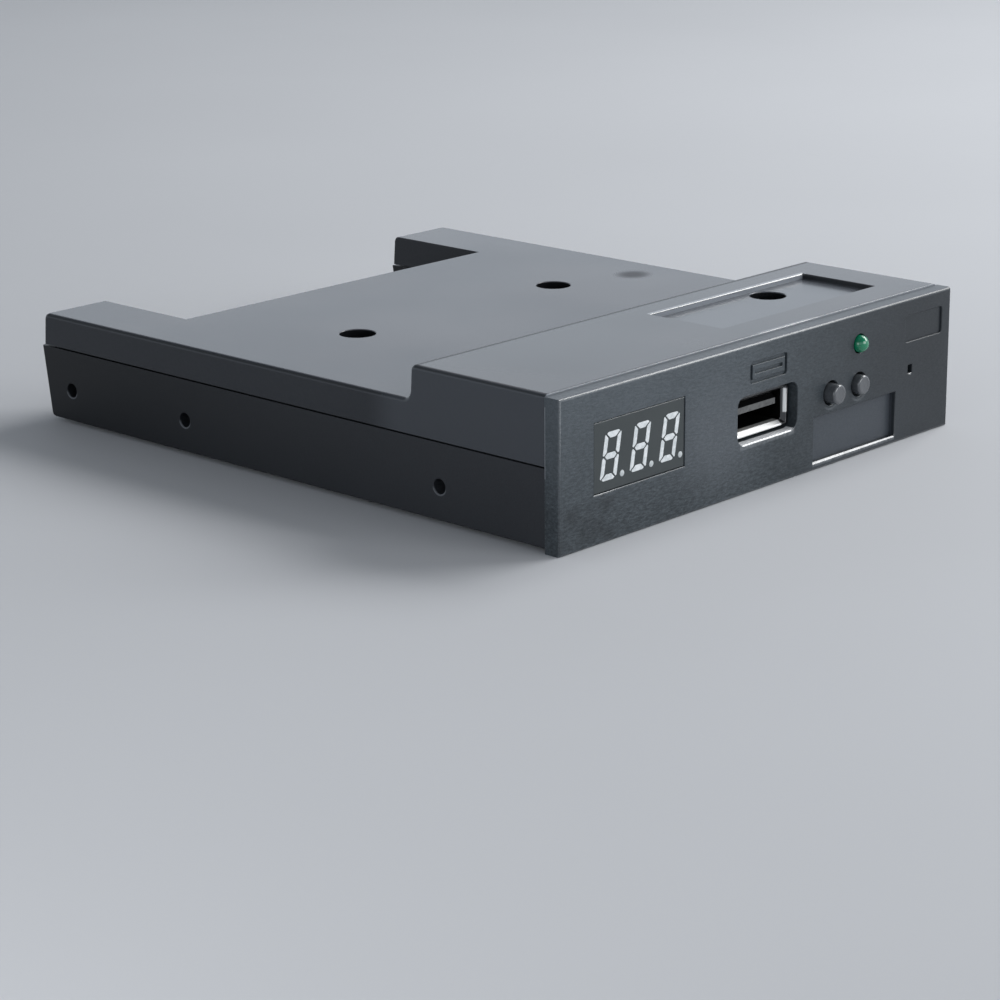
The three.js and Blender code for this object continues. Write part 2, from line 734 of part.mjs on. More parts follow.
function frontBezel() {
  const face = rectangle(0, bezelHeight / 2, bezelWidth, bezelHeight);
  const trim = box(
    -bezelWidth, bezelWidth, 0, bezelThickness, -overrun, bezelHeight + overrun,
  );
  const plate = roundedPrism(face, 'y', 0, bezelThickness + bezelEdgeRadius + overrun, bezelEdgeRadius)
    .intersect(trim);
  const rimBottomZ = trayFloorZ + fit;
  const rimTopZ = blockHeight - roofThickness - fit;
  const rimHalf = cavityHalf - fit;
  const rimRearY = bezelThickness + rimDepth;
  const rim = cut(
    box(-rimHalf, rimHalf, bezelThickness / 2, rimRearY, rimBottomZ, rimTopZ),
    box(
      -rimHalf + rimThickness, rimHalf - rimThickness, 0, rimRearY + overrun,
      rimBottomZ + rimThickness, rimTopZ - rimThickness,
    ),
  );
  const windowFrame = box(
    windowCentreX - windowWidth / 2 - windowFrameWall, windowCentreX + windowWidth / 2 + windowFrameWall,
    bezelThickness / 2, bezelThickness + windowFrameDepth,
    windowCentreZ - windowHeight / 2 - windowFrameWall, windowCentreZ + windowHeight / 2 + windowFrameWall,
  );
  const snaps = [];
  for (const side of [-1, 1]) {
    const outer = side * (cavityHalf - tongueStand);
    const inner = outer - side * tongueThickness;
    const hook = side * (cavityHalf - fit);
    snaps.push(box(
      Math.min(outer, inner), Math.max(outer, inner), bezelThickness / 2, tongueRearY,
      tongueBottomZ, tongueBottomZ + tongueHeight,
    ));
    snaps.push(box(
      Math.min(inner, hook), Math.max(inner, hook), tongueRearY - hookLength, tongueRearY,
      tongueBottomZ, tongueBottomZ + tongueHeight,
    ));
  }
  const throughY = bezelThickness + windowFrameDepth + overrun;
  const displayWindow = box(
    windowCentreX - windowWidth / 2, windowCentreX + windowWidth / 2, -overrun, throughY,
    windowCentreZ - windowHeight / 2, windowCentreZ + windowHeight / 2,
  );
  const aperture = rectangle(portCentreX, portCentreZ, apertureWidth, apertureHeight, apertureRadius);
  const facePocketRightX = bezelWidth / 2 - facePocketFromRight;
  const facePocket = box(
    facePocketRightX - facePocketWidth, facePocketRightX, -overrun, facePocketDepth,
    facePocketBottomZ, facePocketBottomZ + facePocketHeight,
  );
  const pinholeX = bezelWidth / 2 - pinholeFromRight;
  const pinhole = box(
    pinholeX - pinholeWidth / 2, pinholeX + pinholeWidth / 2, -overrun, throughY,
    pinholeZ - pinholeHeight / 2, pinholeZ + pinholeHeight / 2,
  );
  const nameplate = rectangle(
    bezelWidth / 2 - nameplateFromRight, nameplateZ, nameplateWidth, nameplateHeight, nameplateRadius,
  );
  const markOutside = rectangle(portCentreX, portMarkZ, portMarkWidth, portMarkHeight, portMarkRadius);
  const markIsland = rectangle(
    portCentreX, portMarkZ, portMarkWidth - 2 * portMarkLine, portMarkHeight - 2 * portMarkLine,
  );
  const markBar = rectangle(portCentreX, portMarkZ, portMarkWidth - 4 * portMarkLine, portMarkLine);
  const portMark = join(
    cut(prism(markOutside, 'y', -overrun, portMarkDepth), prism(markIsland, 'y', -2 * overrun, throughY)),
    prism(markBar, 'y', -overrun, portMarkDepth),
  );
  return cut(
    join(plate, rim, windowFrame, ...snaps),
    displayWindow,
    prism(aperture, 'y', -overrun, throughY),
    facePocket,
    pinhole,
    prism(nameplate, 'y', -overrun, nameplateDepth),
    portMark,
    barY(rightColumnX, lampZ, lampHoleRadius, -overrun, throughY),
    barY(rightColumnX, lampZ, lampFlangeRadius + seatGap, bezelThickness + seatGap, throughY),
    ...switchXs.map((x) => barY(x, buttonZ, buttonHoleRadius, -overrun, throughY)),
  );
}

function caseScrew({ x, y }) {
  const headZ = wellFloorZ + seatGap;
  const headTopZ = headZ + screwHeadHeight;
  const tipZ = headZ - screwLength;
  const body = solidOf(turned([
    [0, tipZ],
    [screwRadius / 2, tipZ],
    [screwRadius, tipZ + screwTipLength],
    [screwRadius, headZ],
    [screwHeadRadius, headZ],
    [screwHeadRadius, headTopZ - screwHeadRounding],
    [screwHeadRadius - screwHeadRounding, headTopZ],
    [0, headTopZ],
  ]).rotateX(Math.PI / 2));
  const slotBottomZ = headTopZ - driveSlotDepth;
  const halfLong = driveSlotLength / 2;
  const halfWide = driveSlotWidth / 2;
  const cross = join(
    box(-halfLong, halfLong, -halfWide, halfWide, slotBottomZ, headTopZ + overrun),
    box(-halfWide, halfWide, -halfLong, halfLong, slotBottomZ, headTopZ + overrun),
  );
  return cut(body, cross).translate([x, y, 0]);
}

// Boards

function mainBoard() {
  const plan = outline([
    [-boardHalf, boardFrontY],
    [boardHalf, boardFrontY],
    [boardHalf, boardShoulderY],
    [boardTailHalf, boardShoulderY],
    [boardTailHalf, boardRearY],
    [-boardTailHalf, boardRearY],
    [-boardTailHalf, boardShoulderY],
    [-boardHalf, boardShoulderY],
  ]);
  const legHoles = boardLegs().map(([x, y, width, length]) => {
    const halfWidth = width / 2 + boardHoleGap;
    const halfLength = length / 2 + boardHoleGap;
    return box(
      x - halfWidth, x + halfWidth, y - halfLength, y + halfLength,
      boardBottomZ - overrun, boardTopZ + overrun,
    );
  });
  const screwHoles = screwPlaces.map(({ x, y }) => (
    barZ(x, y, screwRadius + fit, boardBottomZ - overrun, boardTopZ + overrun)
  ));
  return cut(prism(plan, 'z', boardBottomZ, boardTopZ), ...legHoles, ...screwHoles);
}

function displayPinPlaces() {
  const rows = [displayBottomZ + displayPinRowRise, displayTopZ - displayPinRowDrop];
  return rowOfPlaces(displayPinsPerRow, pinPitch, windowCentreX).flatMap((x) => rows.map((z) => [x, z]));
}

function displayBoard() {
  const reach = displayHalf + displayBoardMargin;
  const board = box(
    windowCentreX - reach, windowCentreX + reach, displayBoardY, displayBoardRearY,
    displayBottomZ - displayBoardMargin, displayTopZ + displayBoardMargin,
  );
  const half = displayPinWidth / 2 + boardHoleGap;
  const places = [...displayPinPlaces(), ...displayHeaderXs.map((x) => [x, displayHeaderZ])];
  return cut(board, ...places.map(([x, z]) => box(
    x - half, x + half, displayBoardY - overrun, displayBoardRearY + overrun, z - half, z + half,
  )));
}

// Display

// The seven bars and the dot of one digit, grown all round by an amount
function digitShapes(centreX, grow) {
  const half = segmentWidth / 2 + grow;
  const lying = (centreV) => {
    const tip = digitHalfWidth - segmentTipGap + grow;
    return [
      [-tip, centreV], [half - tip, centreV - half], [tip - half, centreV - half],
      [tip, centreV], [tip - half, centreV + half], [half - tip, centreV + half],
    ];
  };
  const standing = (centreU, centreV) => {
    const tip = digitHalfHeight / 2 - segmentTipGap + grow;
    return [
      [centreU, centreV - tip], [centreU + half, centreV - tip + half], [centreU + half, centreV + tip - half],
      [centreU, centreV + tip], [centreU - half, centreV + tip - half], [centreU - half, centreV - tip + half],
    ];
  };
  const bars = [lying(-digitHalfHeight), lying(0), lying(digitHalfHeight)];
  for (const side of [-1, 1]) {
    for (const level of [-1, 1]) {
      bars.push(standing(side * digitHalfWidth, level * digitHalfHeight / 2));
    }
  }
  const digitZ = windowCentreZ + digitGroupShift;
  const shapes = bars.map((bar) => outline(bar.map(([u, v]) => [
    centreX + u + v * digitSlant,
    digitZ + v,
  ])));
  const dot = new THREE.Shape();
  dot.absarc(centreX + dotFromDigit, digitZ - digitHalfHeight, dotRadius + grow, 0, 2 * Math.PI);
  return [...shapes, dot];
}

const digitXs = rowOfPlaces(3, digitPitch, windowCentreX + digitGroupShift);

function displayShell() {
  const body = box(
    windowCentreX - displayHalf, windowCentreX + displayHalf, displayFaceY, displayRearY,
    displayBottomZ, displayTopZ,
  );
  const inside = box(
    windowCentreX - displayHalf + displayWall, windowCentreX + displayHalf - displayWall,
    displayFaceY + displayWall, displayRearY + overrun,
    displayBottomZ + displayWall, displayTopZ - displayWall,
  );
  const slots = digitXs.flatMap((x) => digitShapes(x, segmentClearance))
    .map((shape) => prism(shape, 'y', displayFaceY - overrun, displayFaceY + displayWall + overrun));
  return cut(body, inside, ...slots);
}

// The light guides of all digits, the cast filling behind them and its pins
function displayFilling() {
  const wall = displayWall + seatGap;
  const filling = box(
    windowCentreX - displayHalf + wall, windowCentreX + displayHalf - wall,
    displayFaceY + wall, displayRearY,
    displayBottomZ + wall, displayTopZ - wall,
  );
  const guides = digitXs.flatMap((x) => digitShapes(x, 0))
    .map((shape) => prism(shape, 'y', displayFaceY, displayFaceY + displayWall + overrun));
  const pins = displayPinPlaces().map(([x, z]) => (
    prism(
      rectangle(x, z, displayPinWidth, displayPinWidth), 'y',
      displayRearY - overrun, displayBoardRearY + displayPinProud,
    )
  ));
  return join(filling, ...guides, ...pins);
}

function displayHeader() {
  const reach = displayHalf + displayBoardMargin;
  const strip = box(
    windowCentreX - reach, windowCentreX + reach, displayHeaderFrontY, displayHeaderRearY,
    boardTopZ + seatGap, boardTopZ + seatGap + displayHeaderHeight,
  );
  const half = displayPinWidth / 2;
  const z = displayHeaderZ;
  const pins = displayHeaderXs.map((x) => {
    const shape = outline([
      [displayBoardY - seatGap, z - half],
      [displayHeaderLegY - half, z - half],
      [displayHeaderLegY - half, legFootZ],
      [displayHeaderLegY + half, legFootZ],
      [displayHeaderLegY + half, z + half],
      [displayBoardY - seatGap, z + half],
    ]);
    return prism(shape, 'x', x - half, x + half);
  });
  return join(strip, ...pins);
}

// USB port

function usbShell() {
  const mid = portCentreX;
  const outsideShape = rectangle(mid, portCentreZ, shellWidth, shellHeight, shellRadius);
  const insideShape = rectangle(
    mid, portCentreZ, shellWidth - 2 * shellSheet, shellHeight - 2 * shellSheet, shellRadius - shellSheet,
  );
  const tube = cut(
    prism(outsideShape, 'y', shellFrontY, shellRearY),
    prism(insideShape, 'y', shellFrontY - overrun, shellRearY + overrun),
  );
  const flare = cut(
    flareBlock(shellWidth / 2, shellHeight / 2),
    flareBlock(shellWidth / 2 - shellSheet, shellHeight / 2 - shellSheet),
    box(
      mid - shellWidth, mid + shellWidth, shellFrontY + flareLength / 2, shellRearY, 0, blockHeight,
    ),
  );
  const legs = [];
  for (const x of shellLegXs) {
    for (const y of shellLegYs) {
      legs.push(box(
        x - shellSheet / 2, x + shellSheet / 2, y - shellLegWidth / 2, y + shellLegWidth / 2,
        legFootZ, portCentreZ,
      ));
    }
  }
  return join(tube, flare, ...legs);
}

// Four-sided funnel that opens from the shell's mouth towards the front
function flareBlock(halfWidth, halfHeight) {
  const rearY = shellFrontY + flareLength;
  const frontY = shellFrontY - flareLength;
  const ring = (y, w, h) => [
    [portCentreX - w, y, portCentreZ - h],
    [portCentreX + w, y, portCentreZ - h],
    [portCentreX + w, y, portCentreZ + h],
    [portCentreX - w, y, portCentreZ + h],
  ];
  const corners = [
    ...ring(frontY, halfWidth + flareReach, halfHeight + flareReach),
    ...ring(shellFrontY, halfWidth, halfHeight),
    ...ring(rearY, halfWidth, halfHeight),
  ];
  const faces = [0, 1, 2, 0, 2, 3, 10, 9, 8, 11, 10, 8];
  for (const level of [0, 4]) {
    for (let i = 0; i < 4; i += 1) {
      const next = (i + 1) % 4;
      const [a, b, c, d] = [level + i, level + next, level + 4 + next, level + 4 + i];
      faces.push(a, d, c, a, c, b);
    }
  }
  const geometry = new THREE.BufferGeometry();
  geometry.setAttribute('position', new THREE.Float32BufferAttribute(corners.flat(), 3));
  geometry.setIndex(faces);
  return solidOf(geometry);
}

const tongueBottomUsbZ = portCentreZ + tongueRise;
const tongueTopUsbZ = tongueBottomUsbZ + tongueHeightUsb;
const plugStopFrontY = shellRearY - plugStopLength;

function usbInsulator() {
  const blockHalf = shellWidth / 2 - shellSheet - plugStopInset;
  const blockHalfHeight = shellHeight / 2 - shellSheet - plugStopInset;
  const stop = box(
    portCentreX - blockHalf, portCentreX + blockHalf, plugStopFrontY, shellRearY,
    portCentreZ - blockHalfHeight, portCentreZ + blockHalfHeight,
  );
  const profile = outline([
    [tongueFrontY, tongueBottomUsbZ],
    [plugStopFrontY + overrun, tongueBottomUsbZ],
    [plugStopFrontY + overrun, tongueTopUsbZ],
    [tongueFrontY + tongueTipLength, tongueTopUsbZ],
    [tongueFrontY, tongueBottomUsbZ + tongueTipHeight],
  ]);
  const tongueHalf = shellWidth / 2 - shellSheet - tongueSideGap;
  const tongue = prism(profile, 'x', portCentreX - tongueHalf, portCentreX + tongueHalf);
  const slots = contactXs.map((x) => box(
    x - contactWidth / 2 - contactSlotGap, x + contactWidth / 2 + contactSlotGap,
    plugStopFrontY - overrun, shellRearY + overrun,
    tongueBottomUsbZ - contactThickness - 3 * contactSlotGap, tongueBottomUsbZ,
  ));
  return cut(join(stop, tongue), ...slots);
}

function usbContact(x) {
  const topZ = tongueBottomUsbZ - contactSlotGap;
  const half = contactThickness / 2;
  const shape = outline([
    [contactFrontY, topZ - contactThickness],
    [contactLegY - half, topZ - contactThickness],
    [contactLegY - half, legFootZ],
    [contactLegY + half, legFootZ],
    [contactLegY + half, topZ],
    [contactFrontY, topZ],
  ]);
  return prism(shape, 'x', x - contactWidth / 2, x + contactWidth / 2);
}

// Push switches

function switchBody(x) {
  const half = switchSize / 2;
  const body = box(
    x - half, x + half, switchFrontY, switchFrontY + switchDepth, buttonZ - half, buttonZ + half,
  );
  const boreRadius = buttonFlangeRadius + fit;
  return cut(body, barY(x, buttonZ, boreRadius, switchFrontY - overrun, switchFrontY + switchBoreDepth));
}

function switchBracket(x) {
  const inner = switchSize / 2 + seatGap;
  const outer = inner + bracketSheet;
  const plateRearY = switchFrontY - seatGap;
  const plate = box(
    x - outer, x + outer, plateRearY - bracketSheet, plateRearY,
    buttonZ - switchSize / 2, buttonZ + switchSize / 2,
  );
  const hole = barY(x, buttonZ, buttonRadius + fit, 0, switchFrontY + overrun);
  const cheeks = [-1, 1].flatMap((side) => {
    const ends = [x + side * inner, x + side * outer];
    const legRearY = bracketLegY + bracketLegWidth / 2;
    return [
      box(
        Math.min(...ends), Math.max(...ends), plateRearY - bracketSheet, legRearY,
        buttonZ - switchSize / 2, buttonZ + switchSize / 4,
      ),
      box(
        Math.min(...ends), Math.max(...ends), bracketLegY - bracketLegWidth / 2, legRearY,
        legFootZ, buttonZ,
      ),
    ];
  });
  return join(cut(plate, hole), ...cheeks);
}

function buttonPlunger(x, proud) {
  const flangeFrontY = switchFrontY + fit;
  const rearY = flangeFrontY + buttonFlangeLength;
  const geometry = turned([
    [0, -proud],
    [buttonRadius - buttonEdge, -proud],
    [buttonRadius, -proud + buttonEdge],
    [buttonRadius, flangeFrontY],
    [buttonFlangeRadius, flangeFrontY],
    [buttonFlangeRadius, rearY],
    [0, rearY],
  ]);
  return geometry.translate(x, 0, buttonZ);
}

function contactDome(x) {
  const rimY = switchFrontY + switchBoreDepth - seatGap;
  const arc = [];
  for (let i = 0; i <= cornerSteps; i += 1) {
    const angle = (i / cornerSteps) * Math.PI / 2;
    arc.push([buttonFlangeRadius * Math.sin(angle), domeRise * Math.cos(angle)]);
  }
  const front = arc.map(([r, h]) => [r, rimY - domeSheet - h]);
  const back = arc.map(([r, h]) => [r, rimY - h]).reverse();
  return turned([...front, ...back], smallCircleSteps).translate(x, 0, buttonZ);
}

// Status lamp

function lampLens() {
  const flangeY = bezelThickness + fit;
  const points = [];
  for (let i = 0; i <= cornerSteps + 2; i += 1) {
    const angle = (i / (cornerSteps + 2)) * Math.PI / 2;
    points.push([lampRadius * Math.sin(angle), -lampRadius * Math.cos(angle)]);
  }
  points[0][0] = 0;
  const body = [
    [lampRadius, flangeY],
    [lampFlangeRadius, flangeY],
    [lampFlangeRadius, flangeY + lampFlangeLength],
    [0, flangeY + lampFlangeLength],
  ];
  return turned([...points, ...body]).translate(rightColumnX, 0, lampZ);
}

function lampLead(x) {
  const half = lampLeadWidth / 2;
  const frontY = bezelThickness + fit + lampFlangeLength + seatGap;
  const shape = outline([
    [frontY, lampZ - half],
    [lampLegY - half, lampZ - half],
    [lampLegY - half, legFootZ],
    [lampLegY + half, legFootZ],
    [lampLegY + half, lampZ + half],
    [frontY, lampZ + half],
  ]);
  return prism(shape, 'x', x - half, x + half);
}

function lampHolder() {
  const frontY = bezelThickness + fit + lampFlangeLength + fit;
  const profile = outline([
    [lampHolderFootY, boardTopZ + seatGap],
    [lampHolderRearY, boardTopZ + seatGap],
    [lampHolderRearY, lampZ + lampHolderArm / 2],
    [frontY, lampZ + lampHolderArm / 2],
    [frontY, lampZ - lampHolderArm / 2],
    [lampHolderFootY, lampZ - lampHolderArm / 2],
  ]);
  const side = lampLeadWidth + 2 * boardHoleGap;
  const body = prism(profile, 'x', rightColumnX - lampHolderWidth / 2, rightColumnX + lampHolderWidth / 2);
  return cut(body, ...lampLeadXs.map((x) => (
    prism(rectangle(x, lampZ, side, side), 'y', 0, lampHolderRearY + overrun)
  )));
}

// Headers at the back of the board

function doubleHeader(xs) {
  const half = pinPitch / 2;
  const strip = box(
    xs[0] - half, xs.at(-1) + half, headerFrontY, boardRearY,
    boardTopZ + seatGap, boardTopZ + seatGap + 2 * pinPitch,
  );
  const pins = xs.flatMap((x) => [
    anglePin(x, lowerPinZ, pinTipY, lowerLegY, pinWidth),
    anglePin(x, upperPinZ, pinTipY, upperLegY, pinWidth),
  ]);
  return join(strip, ...pins);
}

function powerHeader() {
  const bottomZ = boardTopZ + seatGap;
  const profile = outline([
    [powerFrontY, bottomZ],
    [boardRearY + powerShelfLength, bottomZ],
    [boardRearY + powerShelfLength, bottomZ + powerShelfHeight],
    [powerFrontY + powerWallDepth, bottomZ + powerShelfHeight],
    [powerFrontY + powerWallDepth, powerTopZ],
    [powerFrontY, powerTopZ],
  ]);
  const body = prism(profile, 'x', powerCentreX - powerLength / 2, powerCentreX + powerLength / 2);
  const tipY = boardRearY + powerShelfLength - powerPinWidth;
  const pins = powerXs.map((x) => anglePin(x, powerPinZ, tipY, powerLegY, powerPinWidth));
  return join(body, ...pins);
}

function jumperCap(x) {
  const frontY = boardRearY + capGap;
  const middleZ = (lowerPinZ + upperPinZ) / 2;
  const body = box(
    x - capWidth / 2, x + capWidth / 2, frontY, frontY + capLength,
    middleZ - capHeight / 2, middleZ + capHeight / 2,
  );
  const side = pinWidth + 2 * capBoreGap;
  return cut(body, ...[lowerPinZ, upperPinZ].map((z) => (
    prism(rectangle(x, z, side, side), 'y', frontY - overrun, frontY + capLength + overrun)
  )));
}

// Parts on the main board

const bufferXs = [bufferX, bufferX + bufferSpacing];
const bufferY = boardShoulderY - bufferFromShoulder;
const capacitorX = boardHalf - capacitorFromSide;
const capacitorY = boardShoulderY - capacitorFromShoulder;
const capacitorTopZ = deckHeight - roofThickness - capacitorHeadroom;
const regulatorX = boardHalf - regulatorFromSide;
const regulatorY = boardShoulderY - regulatorFromShoulder;
const networkY = boardShoulderY - networkFromShoulder;

// A flat chip with its leads on two long sides, or on all four
function chip(x, y, width, length, height, pitch, perSide, fourSides) {
  const bottomZ = partFootZ + seatGap;
  const body = roundedPrism(rectangle(x, y, width, length), 'z', bottomZ, bottomZ + height, seatGap);
  const halfPin = pitch * chipPinShare / 2;
  const leads = [];
  const lead = (x0, x1, y0, y1) => {
    leads.push(box(
      Math.min(x0, x1), Math.max(x0, x1), Math.min(y0, y1), Math.max(y0, y1),
      partFootZ, bottomZ + chipPinThickness,
    ));
  };
  for (const side of [-1, 1]) {
    for (const place of rowOfPlaces(perSide, pitch, 0)) {
      const rootX = x + side * (width / 2 - chipPinRoot);
      lead(rootX, rootX + side * (chipPinRoot + chipPinLength), y + place - halfPin, y + place + halfPin);
      if (fourSides) {
        const rootY = y + side * (length / 2 - chipPinRoot);
        lead(x + place - halfPin, x + place + halfPin, rootY, rootY + side * (chipPinRoot + chipPinLength));
      }
    }
  }
  return join(body, ...leads);
}

function crystalCan() {
  const plan = rectangle(crystalX, crystalY, crystalLength, crystalWidth, crystalWidth / 2 - 2 * seatGap);
  return roundedPrism(plan, 'z', partFootZ, partFootZ + crystalHeight, 2 * seatGap);
}

function capacitor(y) {
  const edge = 2 * seatGap;
  const can = turned([
    [0, partFootZ],
    [capacitorRadius, partFootZ],
    [capacitorRadius, capacitorTopZ - edge],
    [capacitorRadius - edge, capacitorTopZ],
    [0, capacitorTopZ],
  ]).rotateX(Math.PI / 2);
  const grooveZ = partFootZ + capacitorBase;
  const groove = cut(
    barZ(capacitorX, y, capacitorRadius + overrun, grooveZ, grooveZ + edge),
    barZ(capacitorX, y, capacitorRadius - edge, partFootZ, capacitorTopZ),
  );
  return cut(solidOf(can).translate([capacitorX, y, 0]), groove);
}

function regulator() {
  const halfWidth = regulatorWidth / 2;
  const body = box(
    regulatorX - halfWidth, regulatorX + halfWidth, regulatorY - regulatorDepth / 2,
    regulatorY + regulatorDepth / 2, partFootZ, partFootZ + regulatorHeight,
  );
  const tab = box(
    regulatorX - halfWidth + seatGap, regulatorX + halfWidth - seatGap, regulatorY,
    regulatorY + regulatorDepth / 2 + regulatorTabDepth, partFootZ, partFootZ + regulatorTabHeight,
  );
  return join(body, tab);
}

function resistorNetwork() {
  const plan = rectangle(networkX, networkY, networkLength, networkWidth);
  return roundedPrism(plan, 'z', partFootZ, partFootZ + networkHeight, 2 * seatGap);
}

// Materials

function material(color, roughness, metalness = 0) {
  return new THREE.MeshStandardMaterial({ color, roughness, metalness });
}

const casePlastic = () => material(0x33363b, 0.42);
const trayPlastic = () => material(0x232529, 0.45);
const bezelPlastic = () => material(0x3a3f45, 0.5);
const blackPlastic = () => material(0x17181a, 0.5);
const steel = () => material(0xb9bcc0, 0.25, 1);
const gold = () => material(0xc9a24a, 0.3, 1);
const boardGreen = () => material(0x1f5a36, 0.45);
const whitePlastic = () => material(0xd8d8d2, 0.5);

// The assembly

const device = new THREE.Group();

function add(name, shape, finish) {
  const geometry = shape instanceof THREE.BufferGeometry ? shape : geometryOf(shape);
  const mesh = new THREE.Mesh(geometry, finish);
  mesh.name = name;
  device.add(mesh);
}

add('front_bezel', frontBezel(), bezelPlastic());
add('top_cover', topCover(), casePlastic());
add('bottom_tray', bottomTray(), trayPlastic());
for (const place of screwPlaces) add(place.name, caseScrew(place), steel());

add('main_board', mainBoard(), boardGreen());
add('display_board', displayBoard(), boardGreen());
add('display_shell', displayShell(), material(0x3b3d42, 0.5));
add('display_filling', displayFilling(), material(0xdfe3dd, 0.35));
add('display_header', displayHeader(), blackPlastic());

add('usb_shell', usbShell(), steel());
add('usb_insulator', usbInsulator(), blackPlastic());
contactXs.forEach((x, i) => add(`usb_contact_${i + 1}`, usbContact(x), gold()));

[['left', leftButtonX, leftButtonProud], ['right', rightColumnX, rightButtonProud]].forEach(([name, x, proud]) => {
  add(`switch_body_${name}`, switchBody(x), blackPlastic());
  add(`switch_bracket_${name}`, switchBracket(x), steel());
  add(`contact_dome_${name}`, contactDome(x), steel());
  add(`button_${name}`, buttonPlunger(x, proud), material(0x2b2e33, 0.4));
});

add('lamp_lens', lampLens(), material(0x0f7a4c, 0.15));
['left', 'right'].forEach((name, i) => add(`lamp_lead_${name}`, lampLead(lampLeadXs[i]), steel()));
add('lamp_holder', lampHolder(), blackPlastic());

add('data_header', doubleHeader(dataXs), blackPlastic());
add('jumper_header', doubleHeader(jumperXs), blackPlastic());
add('jumper_cap_inner', jumperCap(jumperXs[1]), blackPlastic());
add('jumper_cap_outer', jumperCap(jumperXs.at(-2)), blackPlastic());
add('power_header', powerHeader(), whitePlastic());

add('controller_chip', chip(
  controllerX, controllerY, controllerSize, controllerSize, controllerHeight,
  controllerPitch, controllerPinsPerSide, true,
), blackPlastic());
['left', 'right'].forEach((name, i) => {
  add(`buffer_chip_${name}`, chip(
    bufferXs[i], bufferY, bufferWidth, bufferLength, bufferHeight,
    bufferPitch, bufferPinsPerSide, false,
  ), blackPlastic());
});
add('crystal_can', crystalCan(), steel());
['rear', 'front'].forEach((name, i) => {
  add(`capacitor_${name}`, capacitor(capacitorY - i * capacitorSpacing), material(0xa8abb0, 0.35, 1));
});
add('regulator', regulator(), blackPlastic());
add('resistor_network', resistorNetwork(), material(0x7c2f22, 0.45));

// The origin is the middle of the footprint, at table height
device.position.y = (leftButtonProud - trayRearY) / 2;

const emulator = new THREE.Group();
emulator.add(device);

export default emulator;
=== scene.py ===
# %% [markdown]
# # A floppy drive emulator
# A flat plastic case of 3.5 inch drive size. The front bezel carries a
# three-digit display, a USB socket, two buttons and a lamp, and a small circuit
# board lies inside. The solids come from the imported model, already at their
# places, and this file gives them their edges, finishes, light and camera.

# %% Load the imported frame
import math
from functools import reduce

import bmesh
import bpy
from mathutils import Matrix, Vector


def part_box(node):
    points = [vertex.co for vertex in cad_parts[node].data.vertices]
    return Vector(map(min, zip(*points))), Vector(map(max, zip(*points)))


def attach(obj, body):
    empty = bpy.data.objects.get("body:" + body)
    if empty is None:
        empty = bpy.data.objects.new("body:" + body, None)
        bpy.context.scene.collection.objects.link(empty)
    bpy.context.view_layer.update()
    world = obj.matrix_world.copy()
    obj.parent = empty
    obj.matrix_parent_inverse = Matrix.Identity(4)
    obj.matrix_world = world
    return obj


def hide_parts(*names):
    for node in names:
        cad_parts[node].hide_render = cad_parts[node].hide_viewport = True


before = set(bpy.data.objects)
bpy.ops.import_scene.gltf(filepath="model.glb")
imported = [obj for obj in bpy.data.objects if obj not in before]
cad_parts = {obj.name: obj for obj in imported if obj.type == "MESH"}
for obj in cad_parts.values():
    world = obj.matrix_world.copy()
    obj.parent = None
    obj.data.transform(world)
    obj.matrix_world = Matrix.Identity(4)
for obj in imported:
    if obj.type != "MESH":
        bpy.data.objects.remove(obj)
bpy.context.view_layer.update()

# %% [markdown]
# Blender counts in metres. The finishes and the tests that pick edges tell their
# places in millimetres instead, with y counted back from the bezel's face, so a
# number here can be measured with a ruler on the real case.

# %% Sizes and places
mm = 0.001
face_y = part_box("front_bezel")[0].y


def from_face(point):
    """A point's x, y and z in millimetres, with y counted from the bezel's face."""
    return point.x / mm, (point.y - face_y) / mm, point.z / mm


print("face at y", round(face_y / mm, 3), "mm")

# %% [markdown]
# ## Camera
# A product photograph is taken with a long lens, so the upright edges stay
# nearly parallel. The place, the turn and the lens were solved from corners of
# the case that the photograph shows, and the matrix is built from its own axes
# because that allows the small roll of a hand-held shot.

# %% Camera
camera_place = Vector((-0.364350, -0.341207, 0.136048))
azimuth, elevation, roll = (math.radians(a) for a in (-46.9543, 16.7661, -0.4774))
back = Vector((math.sin(azimuth) * math.cos(elevation),
               -math.cos(azimuth) * math.cos(elevation),
               math.sin(elevation)))
right = (-back).cross(Vector((0, 0, 1))).normalized()
up = right.cross(-back).normalized()
right_rolled = right * math.cos(roll) + up * math.sin(roll)
up_rolled = up * math.cos(roll) - right * math.sin(roll)
lens_data = bpy.data.cameras.new("product_camera")
lens_data.lens = 105.403
lens_data.sensor_width = 36
lens_data.sensor_fit = "HORIZONTAL"
lens_data.clip_start = 0.01
camera = bpy.data.objects.new("product_camera", lens_data)
bpy.context.collection.objects.link(camera)
camera.matrix_world = Matrix.Translation(camera_place) @ Matrix(
    (right_rolled, up_rolled, back)).transposed().to_4x4()
bpy.context.scene.camera = camera
bpy.context.scene.view_settings.view_transform = "Standard"
print("camera", [round(v, 4) for v in camera_place], "lens", lens_data.lens)

# %% [markdown]
# ## Shader sums in plain Python
# A procedural finish is a sum of small patterns. Wired by hand it becomes a
# tangle of Math nodes, so a small class stands for one socket, and plus, minus
# and times on it add the nodes. The finishes below then read as formulas.


